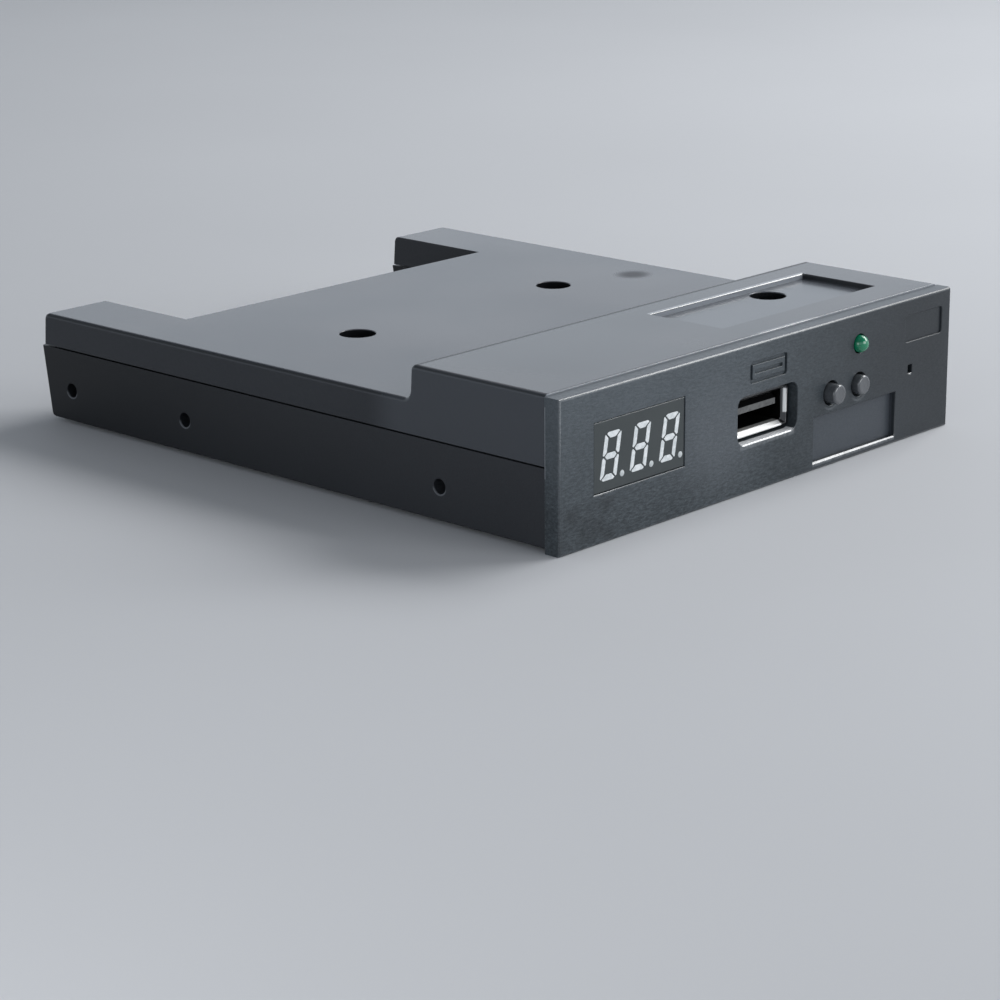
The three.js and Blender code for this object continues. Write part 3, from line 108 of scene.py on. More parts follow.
# %% One socket
class Wire:
    """One output socket in a finish."""

    def __init__(self, paint, socket):
        self.paint, self.socket = paint, socket

    def math(self, operation, *others):
        return self.paint.node("ShaderNodeMath", {"operation": operation}, self, *others)

    def __add__(self, other):
        return self.math("ADD", other)

    __radd__ = __add__

    def __mul__(self, other):
        return self.math("MULTIPLY", other)

    __rmul__ = __mul__

    def __sub__(self, other):
        return self.math("SUBTRACT", other)

    def __rsub__(self, other):
        return self.paint.node("ShaderNodeMath", {"operation": "SUBTRACT"}, other, self)

    def __abs__(self):
        return self.math("ABSOLUTE")

    def most(self, other):
        return self.math("MAXIMUM", other)

    def power(self, exponent):
        return self.math("POWER", exponent)

    def rise(self, start, end):
        """0 before start, 1 after end, and smooth between."""
        return self.paint.node("ShaderNodeMapRange", {"interpolation_type": "SMOOTHSTEP"},
                               self, start, end, 0.0, 1.0)

    def fall(self, start, end):
        """1 before start, 0 after end, and smooth between."""
        return 1.0 - self.rise(start, end)


print("sockets take plus, minus and times")

# %% [markdown]
# A material is a tree of nodes. One method adds each of them, from the node's
# type, its settings and the values or links of its sockets, and the patterns that
# the finishes need are short calls of that method.


# %% One material
class Paint:
    """A material or a world, with its nodes added by one method."""

    def __init__(self, name, owner=None):
        self.owner = owner or bpy.data.materials.new(name)
        self.owner.use_nodes = True
        self.tree = self.owner.node_tree
        self.tree.nodes.clear()

    def node(self, kind, settings=None, *values, out=0, **named):
        """A node with its settings, then its sockets in order or by name."""
        made = self.tree.nodes.new(kind)
        for key, value in (settings or {}).items():
            setattr(made, key, value)
        sockets = [s for s in made.inputs if s.enabled]
        pairs = list(zip(sockets, values))
        for key, value in named.items():
            wanted = key.replace("_", " ").lower()
            pairs.append((next(s for s in sockets if s.name.lower() == wanted), value))
        for socket, value in pairs:
            if isinstance(value, Wire):
                self.tree.links.new(value.socket, socket)
            elif value is not None:
                socket.default_value = value
        outputs = [s for s in made.outputs if s.enabled]
        if isinstance(out, str):
            return Wire(self, next(s for s in outputs if s.name == out))
        return Wire(self, outputs[out]) if outputs else made

    def spot(self, stretch=(1, 1, 1), shift=(0, 0, 0)):
        """The object point in metres, stretched and then moved."""
        point = self.node("ShaderNodeTexCoord", out="Object")
        if tuple(stretch) == (1, 1, 1) and not any(shift):
            return point
        return self.node("ShaderNodeMapping", None, point, shift, (0, 0, 0), stretch)

    def place(self):
        """x, y and z in millimetres, with y counted from the bezel's face."""
        point = self.spot((1 / mm, 1 / mm, 1 / mm), (0, -face_y / mm, 0))
        split = self.node("ShaderNodeSeparateXYZ", None, point).socket.node
        return [Wire(self, output) for output in split.outputs]

    def noise(self, size, detail=2.0, rough=0.5, stretch=(1, 1, 1), seed=0.0):
        """A cloud pattern whose lumps are about this size in millimetres."""
        return self.node("ShaderNodeTexNoise", {"noise_dimensions": "4D"},
                         vector=self.spot(stretch), w=seed, scale=1 / (size * mm),
                         detail=detail, roughness=rough)

    def blend(self, share, first, second):
        """From the first colour to the second as share goes from 0 to 1."""
        return self.node("ShaderNodeMix", {"data_type": "RGBA"}, share, first, second,
                         out="Result")

    def bump(self, height, depth, normal=None):
        """height 1 stands this many millimetres proud."""
        return self.node("ShaderNodeBump", None, strength=1.0,
                         distance=depth * mm, height=height, normal=normal)

    def finish(self, **sockets):
        """The Principled surface and the material's output."""
        surface = self.node("ShaderNodeBsdfPrincipled", None, **sockets)
        self.node("ShaderNodeOutputMaterial", None, surface)
        return self.owner


print("materials take their nodes by one method")

# %% [markdown]
# Colours are written as they look on a screen. A mask says where something holds:
# near a place, between two places, or within a distance of one.


# %% Colours and masks
def tone(red, green, blue):
    """A colour as it looks on a screen, 0 to 255, for a shader's socket."""
    def linear(v):
        v /= 255
        return v / 12.92 if v <= 0.04045 else ((v + 0.055) / 1.055) ** 2.4
    return (linear(red), linear(green), linear(blue), 1.0)


def near(value, centre, reach):
    """1 about the centre, falling to 0 at this distance from it."""
    return abs(value - centre).fall(reach * 0.6, reach)


def between(value, start, end, soft=0.2):
    """1 from start to end, with soft ends."""
    return value.rise(start - soft, start) * value.fall(end, end + soft)


def distance(across, along):
    return (across * across + along * along).power(0.5)


def any_of(*masks):
    """The strongest of several masks."""
    return reduce(Wire.most, masks)


print("colours and masks ready")

# %% [markdown]
# ## Floor and light
# The case stands on a plain pale table in a bright room. Dark plastic shows
# mostly what it reflects: its top mirrors the wall behind it, so that wall is
# white, and thin bright lines along the upper edges come from one large soft
# lamp high on the right. A second soft lamp fills the front, and a small weak one
# near the left front corner lets the left side fade towards the rear.

# %% Floor
bpy.ops.object.select_all(action="DESELECT")
bpy.ops.mesh.primitive_plane_add(size=6, location=(0, 0, 0))
floor = bpy.context.object
floor.name = "floor"
bpy.ops.object.mode_set(mode="EDIT")
bpy.ops.mesh.subdivide(number_cuts=3)
bpy.ops.object.mode_set(mode="OBJECT")
floor_paint = Paint("floor_paint")
floor_cloud = floor_paint.noise(180, detail=3)
floor.data.materials.append(floor_paint.finish(
    base_color=floor_paint.blend(floor_cloud, tone(200, 202, 206), tone(210, 212, 216)),
    roughness=0.75))
print("floor", tuple(round(v, 2) for v in floor.dimensions))

# %% World
world = bpy.data.worlds.new("room")
bpy.context.scene.world = world
room = Paint("room", world)
path = room.node("ShaderNodeLightPath", out="Is Camera Ray").socket.node
shown = any_of(*(Wire(room, path.outputs[name]) for name in
                 ("Is Camera Ray", "Is Glossy Ray", "Is Transmission Ray")))
look = room.node("ShaderNodeTexCoord", out="Generated")
height = room.node("ShaderNodeSeparateXYZ", None, look, out="Z")
wall = 1.0 - height.rise(0.40, 0.56) * 0.80     # white wall under a dim ceiling
room.node("ShaderNodeOutputWorld", None, room.node(
    "ShaderNodeBackground", None, tone(236, 245, 255), wall * (shown * 0.36 + 0.64)))
print("room light made")

# %% Lamps
aim = Vector((0, 0, 12 * mm))       # the middle of the case


def softbox(name, toward, along, far, length, width, level):
    """An area lamp seen from the object in one direction, level 1 being white."""
    bpy.ops.object.select_all(action="DESELECT")
    bpy.ops.object.light_add(type="AREA")
    lamp = bpy.context.object
    lamp.name = name
    lamp.data.shape = "RECTANGLE"
    lamp.data.size, lamp.data.size_y = length, width
    lamp.data.energy = level * math.pi * length * width
    away = Vector(toward).normalized()
    long_axis = (Vector(along) - away * away.dot(Vector(along))).normalized()
    lamp.matrix_world = Matrix.Translation(away * far + aim) @ Matrix(
        (long_axis, away.cross(long_axis), away)).transposed().to_4x4()
    print(name, "watts", round(lamp.data.energy, 2))


softbox("lamp_high_right", (0.76, -0.25, 0.60), (0, 0.92, 0.39), 1.0, 0.95, 0.42, 6.8)
softbox("lamp_front", (0.20, -0.93, 0.34), (1, 0, 0), 1.1, 0.7, 0.5, 3.5)
softbox("lamp_left", (-0.93, -0.33, 0.15), (0, 1, 0), 0.32, 0.15, 0.15, 1.6)

# %% [markdown]
# ## Plastics
# The case is moulded in dark blue-grey ABS. Its mould was spark eroded on the
# face, which leaves a fine even grain, and polished on the flat tops. Handling
# rubs the grain away on edges, and these edges and some glinting rims are also
# painted paler as highlights. One function makes every plastic here, and takes
# the places that differ as masks, patterns that are 1 there and 0 elsewhere. Many
# of its tints are painted light and shade. A thin clear coat on a mask is the
# simplest way to make that place shine.


# %% Moulded plastic
def moulded_plastic(name, dark, light, rough, grain_size, grain_depth, stretch=(1, 1, 1),
                    wear_and_glints=None, tints=None, fades=None, polish=None, coat=0.0,
                    mirror=0.5, contrast=0.2):
    """ABS with an eroded grain. wear_and_glints is where it is rubbed smooth and
    shines and is painted paler as a highlight, tints are places with another colour,
    mostly painted light and shade, and some added roughness, fades is where the
    grain is weaker, and polish is where the whole face is a little glossier."""
    paint = Paint(name)
    if polish is not None:
        coat = polish(paint)
    cloud = paint.noise(26, detail=3, seed=2.0)
    fleck = paint.noise(0.5, detail=1, seed=5.0)
    grain = paint.noise(grain_size, detail=3, rough=0.6, stretch=stretch)
    if fades is not None:
        grain = (grain - 0.5) * (1.0 - fades(paint)) + 0.5
    skin = paint.noise(2.4, detail=2, seed=9.0)
    mottle = cloud * 0.35 + fleck * 0.1 + grain * 0.55
    colour = paint.blend(mottle.rise(0.5 - contrast, 0.5 + contrast), dark, light)
    gloss = rough + (cloud - 0.5) * 0.08 + (fleck - 0.5) * 0.03
    for share, shade, added in (tints(paint) if tints else ()):
        colour = paint.blend(share, colour, shade)
        gloss = gloss + share * added
    height = grain
    if wear_and_glints is not None:
        scuff = paint.noise(0.7, detail=2, seed=7.0).rise(0.25, 0.6)
        rub_and_glint = wear_and_glints(paint) * (scuff * 0.3 + 0.6)
        # Painted highlight: the rubbed and glinting places are painted paler here, besides
        # their real gloss from the coat.
        colour = paint.blend(rub_and_glint * scuff * 0.30, colour, tone(118, 123, 128))
        gloss = gloss * (1.0 - rub_and_glint * 0.45)
        height = grain * (1.0 - rub_and_glint * 0.85)
        coat = rub_and_glint.most(coat)
    normal = paint.bump(height, grain_depth, paint.bump(skin, 0.004))
    return paint.finish(base_color=colour, roughness=gloss, specular_ior_level=mirror,
                        normal=normal, coat_weight=coat, coat_roughness=0.10, coat_ior=1.75)


button_finish = moulded_plastic("button_finish", tone(72, 75, 79), tone(86, 89, 93),
                                0.24, 0.20, 0.005, coat=0.4)
black_finish = moulded_plastic("black_finish", tone(20, 20, 22), tone(29, 29, 31),
                               0.42, 0.15, 0.006)
white_finish = moulded_plastic("white_finish", tone(212, 209, 200), tone(226, 223, 214),
                               0.40, 0.18, 0.004)
print("plain plastics ready")

# %% [markdown]
# The bezel's upper rim and the lower rims of its openings are rubbed and catch the
# lamps, and they are painted paler as glints. Its face has painted light: it is
# painted paler at the top, in the middle and in the finger pocket, with a
# near-white sill under the port, a paler roof and a pale line on its rear edge,
# and it is painted darker at the right as painted shade. A dark patch lies low on
# the left. The mould was polished more on the right.
# Such marks could be painted on an unwrapped surface, but a mask told by its place
# needs no unwrapping and stays sharp when the camera comes close.

# %% Bezel finish
pocket_left, pocket_right, pocket_foot = 12.2, 35.05, 1.35      # the finger pocket
window_left, window_right = -43.0, -21.3                        # the display's window
button_holes = ((16.8, 12.5), (24.5, 12.5))                     # x and z


def bezel_wear_and_glints(paint):
    """The outer front rim and the lower rims of the openings, which are rubbed and shine, and
    are painted paler as glints.
    """
    x, y, z = paint.place()
    top = z.rise(24.25, 24.4) * (0.44 - x.rise(-40, 30) * 0.22)
    sides = abs(x).rise(50.35, 50.5) * 0.3
    foot = z.fall(0.3, 0.45) * 0.4
    pocket_lip = near(z, 1.2, 0.6) * between(x, pocket_left, pocket_right)
    port_lip = near(z, 8.2, 0.7) * between(x, -7.2, 6.8)
    window_lip = near(z, 8.05, 0.2) * between(x, window_left, window_right - 0.1) * (
        1.0 - x.rise(-41, -36) * 0.7)
    pinhole_lip = near(z, 11.55, 0.25) * between(x, 39.0, 39.6, 0.1)
    button_lips = z.fall(10.2, 10.7) * 0.5 * any_of(*(
        near(distance(x - hole_x, z - hole_z), 2.68, 0.2) for hole_x, hole_z in button_holes))
    return y.fall(0.32, 0.48) * any_of(
        sides, top, foot, pocket_lip, port_lip, window_lip, pinhole_lip, button_lips)


def bezel_tints(paint):
    """Each place's share, its colour and its added roughness."""
    x, y, z = paint.place()
    # Painted light: the face is painted paler at the top, in the middle (the sheen) and in
    # the finger pocket, and painted darker at the right as shade.
    painted_upper_light = z.rise(-4, 26) * (1.0 - x.rise(-30, 30) * 0.8)
    painted_right_shade = x.rise(-6, 44)
    sheen = distance(x + 13, (z - 11) * 1.3).fall(2, 17)
    cloud = paint.noise(3.0, detail=3, seed=11.0)
    # A dark, slightly rougher patch low on the left.
    dark_patch = near(x, -44.5, 8.0) * near(z, 3.8, 4.5) * cloud.rise(0.3, 0.7)
    pocket = between(x, pocket_left, pocket_right, 0.05) * between(
        z, pocket_foot + 0.05, 9.1, 0.05) * y.rise(0.6, 0.7)
    # Painted highlights: a near-white sill under the port, a paler roof on top, and a pale
    # line along the rear edge of the left side.
    sill_highlight = between(x, -7.0, 6.6) * near(z, 8.35, 0.35) * between(y, 0.2, 1.5)
    roof = z.rise(24.62, 24.68)
    rear_edge = near(y, 3.02, 0.14) * between(z, 12, 23) * x.fall(-50.7, -50.6)
    return ((painted_upper_light * 0.5, tone(90, 97, 103), 0.0),
            (painted_right_shade * 0.72, tone(34, 37, 41), 0.0),
            (sheen * 0.45, tone(96, 101, 107), -0.04),
            (pocket * 0.6, tone(76, 81, 88), 0.0),
            (sill_highlight * 0.95, tone(226, 228, 230), 0.0),
            (roof * 0.9, tone(96, 101, 107), 0.0),
            (rear_edge * 0.5, tone(150, 154, 160), 0.0),
            (dark_patch * 0.45, tone(24, 26, 29), 0.1))


def bezel_fades(paint):
    return paint.place()[0].rise(-16, 24) * 0.6


bezel_finish = moulded_plastic("bezel_finish", tone(41, 47, 51), tone(74, 81, 86),
                               0.33, 0.44, 0.100, stretch=(0.42, 1, 1.35),
                               wear_and_glints=bezel_wear_and_glints, tints=bezel_tints, fades=bezel_fades,
                               mirror=0.3, contrast=0.13)
print("bezel finish ready")

# %% [markdown]
# The cover's flat tops were polished in the mould and mirror the room at low
# angles, and they are also painted paler than its sides, as painted reflection;
# the front of the cover is painted paler as painted light. The screw wells, the
# end wall of the label pocket, the rear rim of the raised block and the rounded
# outer top edges are painted dark as painted shade. The rear rim and wall of the
# label pocket are painted bright as a highlight, and a faint dark spot lies on the
# deck. The cover is one piece of plastic, so it has one finish, and masks tell its
# tops from its sides by their height.

# %% Places on the cover
deck_z, label_z, top_z = 19.3, 24.05, 25.0      # deck, label pocket, raised block
label_end, label_front, label_rear = 41.7, 9.8, 25.2
screw_wells = ((-25, 69.3, deck_z), (25, 69.3, deck_z), (27.1, 21.6, label_z))
well_radius = 3.15
ridge_y = max(from_face(v.co)[1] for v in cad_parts["top_cover"].data.vertices
              if v.co.z > (top_z - 0.05) * mm)
print("raised block ends at y", round(ridge_y, 2))


# %% Cover finish
def cover_wear_and_glints(paint):
    """The glint at the front rim by the bezel joint, and the rear rim of the label pocket:
    both shine and are painted paler as highlights.
    """
    x, y, z = paint.place()
    joint = near(y, 3.2, 0.5) * z.rise(24.6, 24.8) * between(x, 4, 12, 7)
    rim = near(y, 25.35, 0.7) * between(x, 0, label_end + 0.3) * z.rise(24.6, 24.7)
    return joint.most(rim)


def cover_tops(paint):
    """All but the outer edges, the deck, the raised block and the pocket's floor."""
    x, y, z = paint.place()
    inward = abs(x).fall(50.2, 50.4)
    deck = between(z, deck_z - 0.1, deck_z + 0.06, 0.04) * inward * between(
        y, ridge_y + 0.5, 122.4, 0.4)
    block_top = z.rise(top_z - 0.14, top_z - 0.08) * inward
    label_floor = between(x, 0, label_end, 0.05) * between(
        y, label_front, label_rear - 0.05, 0.05) * z.fall(24.1, 24.2) * z.rise(23, 24)
    return inward, deck, block_top, label_floor


def cover_polish(paint):
    _, deck, block_top, label_floor = cover_tops(paint)
    return any_of(deck * 0.11, block_top * 0.12, label_floor * 0.22)


def cover_tints(paint):
    """Each place's share, its colour and its added roughness."""
    x, y, z = paint.place()
    inward, deck, block_top, label_floor = cover_tops(paint)
    painted_front_light = y.fall(34, 42)
    haze = paint.noise(34, detail=2, seed=13.0).rise(0.4, 0.68) * deck.most(block_top)
    # Painted shade: the rear rim of the raised block and the rounded outer top edges are
    # painted dark.
    ridge = between(y, ridge_y - 0.5, ridge_y + 0.2, 0.15) * z.rise(24.6, 24.8)
    fillet = (1.0 - inward) * any_of(
        between(z, deck_z - 0.4, deck_z - 0.01, 0.1) * y.rise(37.5, 38.5),
        between(z, top_z - 0.4, top_z - 0.01, 0.1))
    # Painted highlight: the cover's front rim at the bezel joint is painted pale.
    joint_highlight = y.fall(3.14, 3.34) * z.rise(24.62, 24.7)
    # Painted light on the label pocket: its rear wall is painted pale, and its end wall is
    # painted dark as shade.
    rear_wall = between(x, 0, label_end) * near(y, label_rear, 0.12) * between(
        z, 24.08, 24.75, 0.04)
    end_wall = near(x, label_end, 0.12) * between(y, label_front, label_rear) * between(
        z, 24.08, 24.9, 0.04)
    # Painted shade: the screw wells are painted near black inside.
    painted_well_shade = any_of(*(
        distance(x - wx, y - wy).fall(well_radius + 0.05, well_radius + 0.25)
        * z.fall(rim_z - 0.3, rim_z) for wx, wy, rim_z in screw_wells))
    # A faint dark spot on the deck, darker and much rougher.
    dark_spot = distance(x - 41.3, (y - 64.1) * 1.1).fall(0.8, 4.4) * z.rise(18, 19)
    # Painted light: the front of the cover is painted paler, and the deck, the block top and
    # the label floor are painted paler as painted reflection.
    return ((painted_front_light * 0.6, tone(78, 82, 88), 0.0),
            (deck * 0.85, tone(67, 70, 78), 0.0),
            (block_top * 0.85, tone(84, 87, 92), 0.0),
            (haze * 0.45, tone(104, 103, 107), 0.03),
            (label_floor * 0.9, tone(96, 100, 107), 0.0),
            (fillet * 0.6, tone(30, 32, 35), 0.5),
            (ridge * 0.6, tone(44, 48, 53), 0.3),
            (joint_highlight * 0.9, tone(140, 145, 152), 0.0),
            (rear_wall * 0.9, tone(136, 141, 148), 0.0),
            (end_wall * 0.8, tone(28, 30, 33), 0.0),
            (painted_well_shade * 0.95, tone(16, 17, 19), 0.0),
            (dark_spot * 0.3, tone(30, 32, 35), 1.2))


cover_finish = moulded_plastic("cover_finish", tone(43, 46, 51), tone(50, 53, 58),
                               0.23, 0.45, 0.002, wear_and_glints=cover_wear_and_glints, tints=cover_tints,
                               polish=cover_polish, mirror=0.3, contrast=0.32)
print("cover finish ready")

# %% [markdown]
# The photograph shows the tray's left side only, which is painted darker towards
# the rear as painted shade. The lower rims of its screw holes are painted paler
# as glints.

# %% Tray finish
side_holes = (25.4, 85.4, 115.4)        # y of the three holes in each side
side_hole_z, side_hole_radius = 6.3, 1.25


def tray_tints(paint):
    """Each place's share, its colour and its added roughness."""
    x, y, z = paint.place()
    low = z.fall(5.5, side_hole_z) * abs(x).rise(50.3, 50.4)
    # Painted highlight: the lower rims of the side holes are painted pale.
    rim_glints = any_of(*(near(distance(y - hole_y, z - side_hole_z), side_hole_radius + 0.09, 0.22)
                    for hole_y in side_holes))
    # Painted shade: the side is painted darker towards the rear.
    return ((y.rise(10, 124) * 0.85, tone(21, 23, 26), 0.0),
            (rim_glints * low * 0.45, tone(128, 132, 138), 0.0))


tray_finish = moulded_plastic("tray_finish", tone(46, 48, 52), tone(54, 56, 60),
                              0.40, 0.24, 0.012, tints=tray_tints, mirror=0.25)
print("tray finish ready")

# %% [markdown]
# ## Metals
# The metal parts are stamped or drawn. Their sheet shows faint lines along the
# way it was rolled, and plating leaves soft clouds. A noise pattern stretched
# along one axis draws the lines. It feeds roughness and a slight bump, because on
# metal such lines show in the gloss and not in the colour. Screws get a dark
# steel finish, so the wells look dark in the photograph.


# %% Metals
def bare_metal(name, dark, light, rough, tints=None):
    paint = Paint(name)
    cloud = paint.noise(3.0, detail=3, seed=1.0)
    lines = paint.noise(0.12, detail=2, stretch=(1, 0.08, 1), seed=4.0)
    colour = paint.blend(cloud, dark, light)
    gloss = rough + (cloud - 0.5) * 0.12 + (lines - 0.5) * 0.08
    for share, shade, added in (tints(paint) if tints else ()):
        colour = paint.blend(share, colour, shade)
        gloss = gloss + share * added
    return paint.finish(base_color=colour, metallic=1.0, roughness=gloss,
                        normal=paint.bump(lines, 0.002))


steel_tones = (tone(186, 188, 190), tone(214, 215, 215))
steel_finish = bare_metal("steel_finish", *steel_tones, 0.24)
gilt_finish = bare_metal("gilt_finish", tone(206, 172, 98), tone(226, 196, 126), 0.24)
can_finish = bare_metal("can_finish", tone(186, 188, 190), tone(208, 209, 210), 0.30)
screw_finish = bare_metal("screw_finish", tone(48, 49, 52), tone(70, 71, 74), 0.34)
print("metals ready")

# %% [markdown]
# ## Display, lamp and board
# The display's face is matt black moulding with a shiny upper edge. Its bars are
# clear resin filled with white, and its dots are filled less well, so they are
# greyer. The lamp is a green tinted resin dome. None of them is lit in the
# photograph, so they are plain colours without emission.

# %% Display finishes
digit_places = (-38.97, -32.00, -25.00)     # x of each digit's middle
dot_x, dot_z = 2.66, -3.40                  # a dot, from the middle of its digit
window_z = 13.64                            # height of the digits' middle

display_paint = Paint("display_face_finish")
display_cloud = display_paint.noise(6, detail=2)
display_finish = display_paint.finish(
    base_color=display_paint.blend(display_cloud, tone(50, 56, 58), tone(59, 65, 66)),
    roughness=0.30 + (display_cloud - 0.5) * 0.08,
    coat_weight=display_paint.place()[2].rise(19.2, 19.3) * 0.7,
    coat_roughness=0.1, coat_ior=1.75,
    normal=display_paint.bump(display_paint.noise(0.25), 0.004))

segment_paint = Paint("segment_finish")
segment_cloud = segment_paint.noise(0.7, detail=2)
segment_white = segment_paint.blend(segment_cloud.rise(0.3, 0.7), tone(204, 210, 212),
                                    tone(232, 235, 237))
across, _, height = segment_paint.place()
dots = any_of(*(near(across, digit_x + dot_x, 0.9) for digit_x in digit_places))
dots = dots * height.fall(window_z + dot_z + 0.51, window_z + dot_z + 0.61)
segment_finish = segment_paint.finish(
    base_color=segment_paint.blend(dots * 0.8, segment_white, tone(186, 192, 193)),
    roughness=0.30 + (segment_cloud - 0.5) * 0.1,
    normal=segment_paint.bump(segment_paint.noise(0.3), 0.006))
print("display finishes ready")

# %% Lamp finish
lamp_paint = Paint("lamp_finish")
lamp_cloud = lamp_paint.noise(1.2, detail=2)
lamp_finish = lamp_paint.finish(
    base_color=lamp_paint.blend(lamp_cloud, tone(2, 98, 68), tone(8, 142, 100)),
    roughness=0.07 + lamp_cloud * 0.04, coat_weight=0.6,
    normal=lamp_paint.bump(lamp_paint.noise(0.6), 0.002))
print("lamp finish ready")

# %% [markdown]
# The board is green lacquer over copper, which shows as paler tracks, with tinned
# rings round the pins. Both repeat at the pitch of the pins: a Math node set to
# ping-pong gives the distance to the nearest pin, whichever that is.

# %% Board finish
pitch = 2.54
board_paint = Paint("board_finish")
across, along, _ = board_paint.place()
board_cloud = board_paint.noise(5, detail=3)
column = (across + 33.82).math("PINGPONG", pitch / 2)
row = (along - 104.45).math("PINGPONG", pitch / 2)
tracks = column.fall(0.14, 0.22) * between(along, 58, 102, 1.0)
rings = distance(column, row).fall(0.72, 0.80) * between(along, 101.8, 107.2, 0.1)
lacquer = board_paint.blend(board_cloud, tone(14, 62, 42), tone(24, 80, 54))
lacquer = board_paint.blend(tracks * 0.7, lacquer, tone(54, 118, 78))
board_finish = board_paint.finish(
    base_color=board_paint.blend(rings, lacquer, tone(196, 198, 196)),
    metallic=rings, roughness=0.34 + (board_cloud - 0.5) * 0.1,
    normal=board_paint.bump(tracks.most(rings), 0.03, board_paint.bump(
        board_paint.noise(0.5), 0.004)))
print("board ready")

# %% Put the finishes on the frame
finish_of_slot = {
    "bezel_plastic": bezel_finish, "case_plastic": cover_finish,
    "tray_plastic": tray_finish, "black_plastic": black_finish,
    "white_plastic": white_finish, "button_plastic": button_finish,
    "display_black": display_finish, "display_resin": segment_finish,
    "lamp_resin": lamp_finish, "board": board_finish, "steel": steel_finish,
    "gilt": gilt_finish, "can_metal": can_finish, "resistor_coat": black_finish,
}
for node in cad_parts.values():
    for slot in node.material_slots:
        slot.material = finish_of_slot[slot.material.name.split(".")[0]]
print(len(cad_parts), "nodes dressed")

# %% [markdown]
# ## Edges that catch the light
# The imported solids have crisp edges, but a moulded edge is always a little
# round, and that round is what draws the bright lines in the photograph. Each
# visible solid is copied, its loose triangles are merged into whole faces, and
# then the edges that the real part softens are bevelled, picked by place. One
# bevel with a weight for each edge keeps the corners clean where widths differ.


# %% Selecting
def fresh():
    """Object mode, with nothing selected."""
    if bpy.context.object and bpy.context.object.mode != "OBJECT":
        bpy.ops.object.mode_set(mode="OBJECT")
    bpy.ops.object.select_all(action="DESELECT")


def work_on(piece):
    fresh()
    piece.select_set(True)
    bpy.context.view_layer.objects.active = piece


def edit_all(piece):
    """Edit mode, with everything selected."""
    work_on(piece)
    bpy.ops.object.mode_set(mode="EDIT")
    bpy.ops.mesh.select_all(action="SELECT")


def pick(piece, kind, test):
    """Edit mode, with the edges, faces or corners selected that pass a test."""
    work_on(piece)
    bpy.ops.object.mode_set(mode="EDIT")
    bpy.ops.mesh.select_mode(type=kind)
    bpy.ops.mesh.select_all(action="DESELECT")
    shape = bmesh.from_edit_mesh(piece.data)
    for part in {"EDGE": shape.edges, "FACE": shape.faces, "VERT": shape.verts}[kind]:
        if test(part):
            part.select_set(True)
    bmesh.update_edit_mesh(piece.data)


def middle(part):
    """The middle of an edge or face in millimetres, y from the bezel's face."""
    return from_face(sum((v.co for v in part.verts), Vector()) / len(part.verts))


def faces_front(face):
    return face.normal.y < -0.9


def everywhere(*part_or_place):
    return True


print("selecting tools ready")


# %% Merged copies and rounded edges
def adopt(node, name):
    """A merged copy of a CAD node, whose flat faces are whole again."""
    piece = bpy.data.objects.new(name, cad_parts[node].data.copy())
    bpy.context.collection.objects.link(piece)
    piece.data.materials.clear()
    work_on(piece)
    if piece.data.has_custom_normals:
        bpy.ops.mesh.customdata_custom_splitnormals_clear()
    edit_all(piece)
    bpy.ops.mesh.remove_doubles(threshold=0.002 * mm)
    bpy.ops.mesh.dissolve_limited(angle_limit=math.radians(0.5))
    fresh()
    return piece


def crisp(edge):
    """An outward edge that turns by more than 30 degrees."""
    return (len(edge.link_faces) == 2 and edge.is_convex
            and edge.calc_face_angle(0) > math.radians(30))


def soften(piece, *rules, segments=2, profile=0.5):
    """Bevels crisp edges. Each rule is a width in millimetres and a place test."""
    widest = max(width for width, where in rules)
    work_on(piece)
    bpy.ops.object.mode_set(mode="EDIT")
    shape = bmesh.from_edit_mesh(piece.data)
    weight = shape.edges.layers.float.new("bevel_weight_edge")
    count = 0
    for edge in shape.edges:
        if crisp(edge):
            width = next((w for w, where in rules if where(*middle(edge))), 0)
            edge[weight] = width / widest
            count += width > 0
    bmesh.update_edit_mesh(piece.data)
    work_on(piece)
    bpy.ops.object.modifier_add(type="BEVEL")
    bevel = piece.modifiers[-1]
    bevel.limit_method, bevel.width, bevel.segments = "WEIGHT", widest * mm, segments
    bevel.use_clamp_overlap = bevel.loop_slide = False
    bevel.profile = profile
    bpy.ops.object.modifier_apply(modifier=bevel.name)
    print(piece.name, count, "edges softened")


print("edge tools ready")

# %% [markdown]
# A finished piece is shaded smooth over its small bevels and flat on its wide
# faces, which is what weighted normals are for. It then takes its finishes, rides
# on its body and stands for the solid that it was made from.


# %% Finished pieces
def hand_in(piece, body, slot_name, node, *finishes):
    """Smooth shading, finishes and body of a piece that replaces a node; its slot name is not
    used.
    """
    work_on(piece)
    bpy.ops.object.shade_smooth_by_angle(angle=math.radians(38))
    bpy.ops.object.modifier_add(type="WEIGHTED_NORMAL")
    piece.modifiers[-1].keep_sharp = True
    bpy.ops.object.modifier_apply(modifier=piece.modifiers[-1].name)
    for finish in finishes:
        piece.data.materials.append(finish)
    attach(piece, body)
    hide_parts(node)
    print(piece.name, len(piece.data.polygons), "faces")


def colour_faces(piece, test):
    """Gives the faces that pass a place test the second of the piece's finishes."""
    for face in piece.data.polygons:
        if test(*from_face(face.center)):
            face.material_index = 1


print("finishing tools ready")

# %% [markdown]
# ## Bezel
# The bezel snaps on the front of the case. Its plate is closed up to the cover
# here, as the fine joint in the photograph shows, and the rims of the openings
# are rounded. The lower rim of the finger pocket has a wide soft chamfer that
# catches the high lamp along its whole length. Each width goes with a test of
# place, and the first test that an edge passes decides.

# %% Bezel
bezel = adopt("front_bezel", "bezel")
pick(bezel, "VERT", lambda v: abs(from_face(v.co)[1] - 2.9) < 0.01)
bpy.ops.transform.translate(value=(0, 0.19 * mm, 0))
port_x = -0.2       # the middle of the port, and of the engraved bar over it


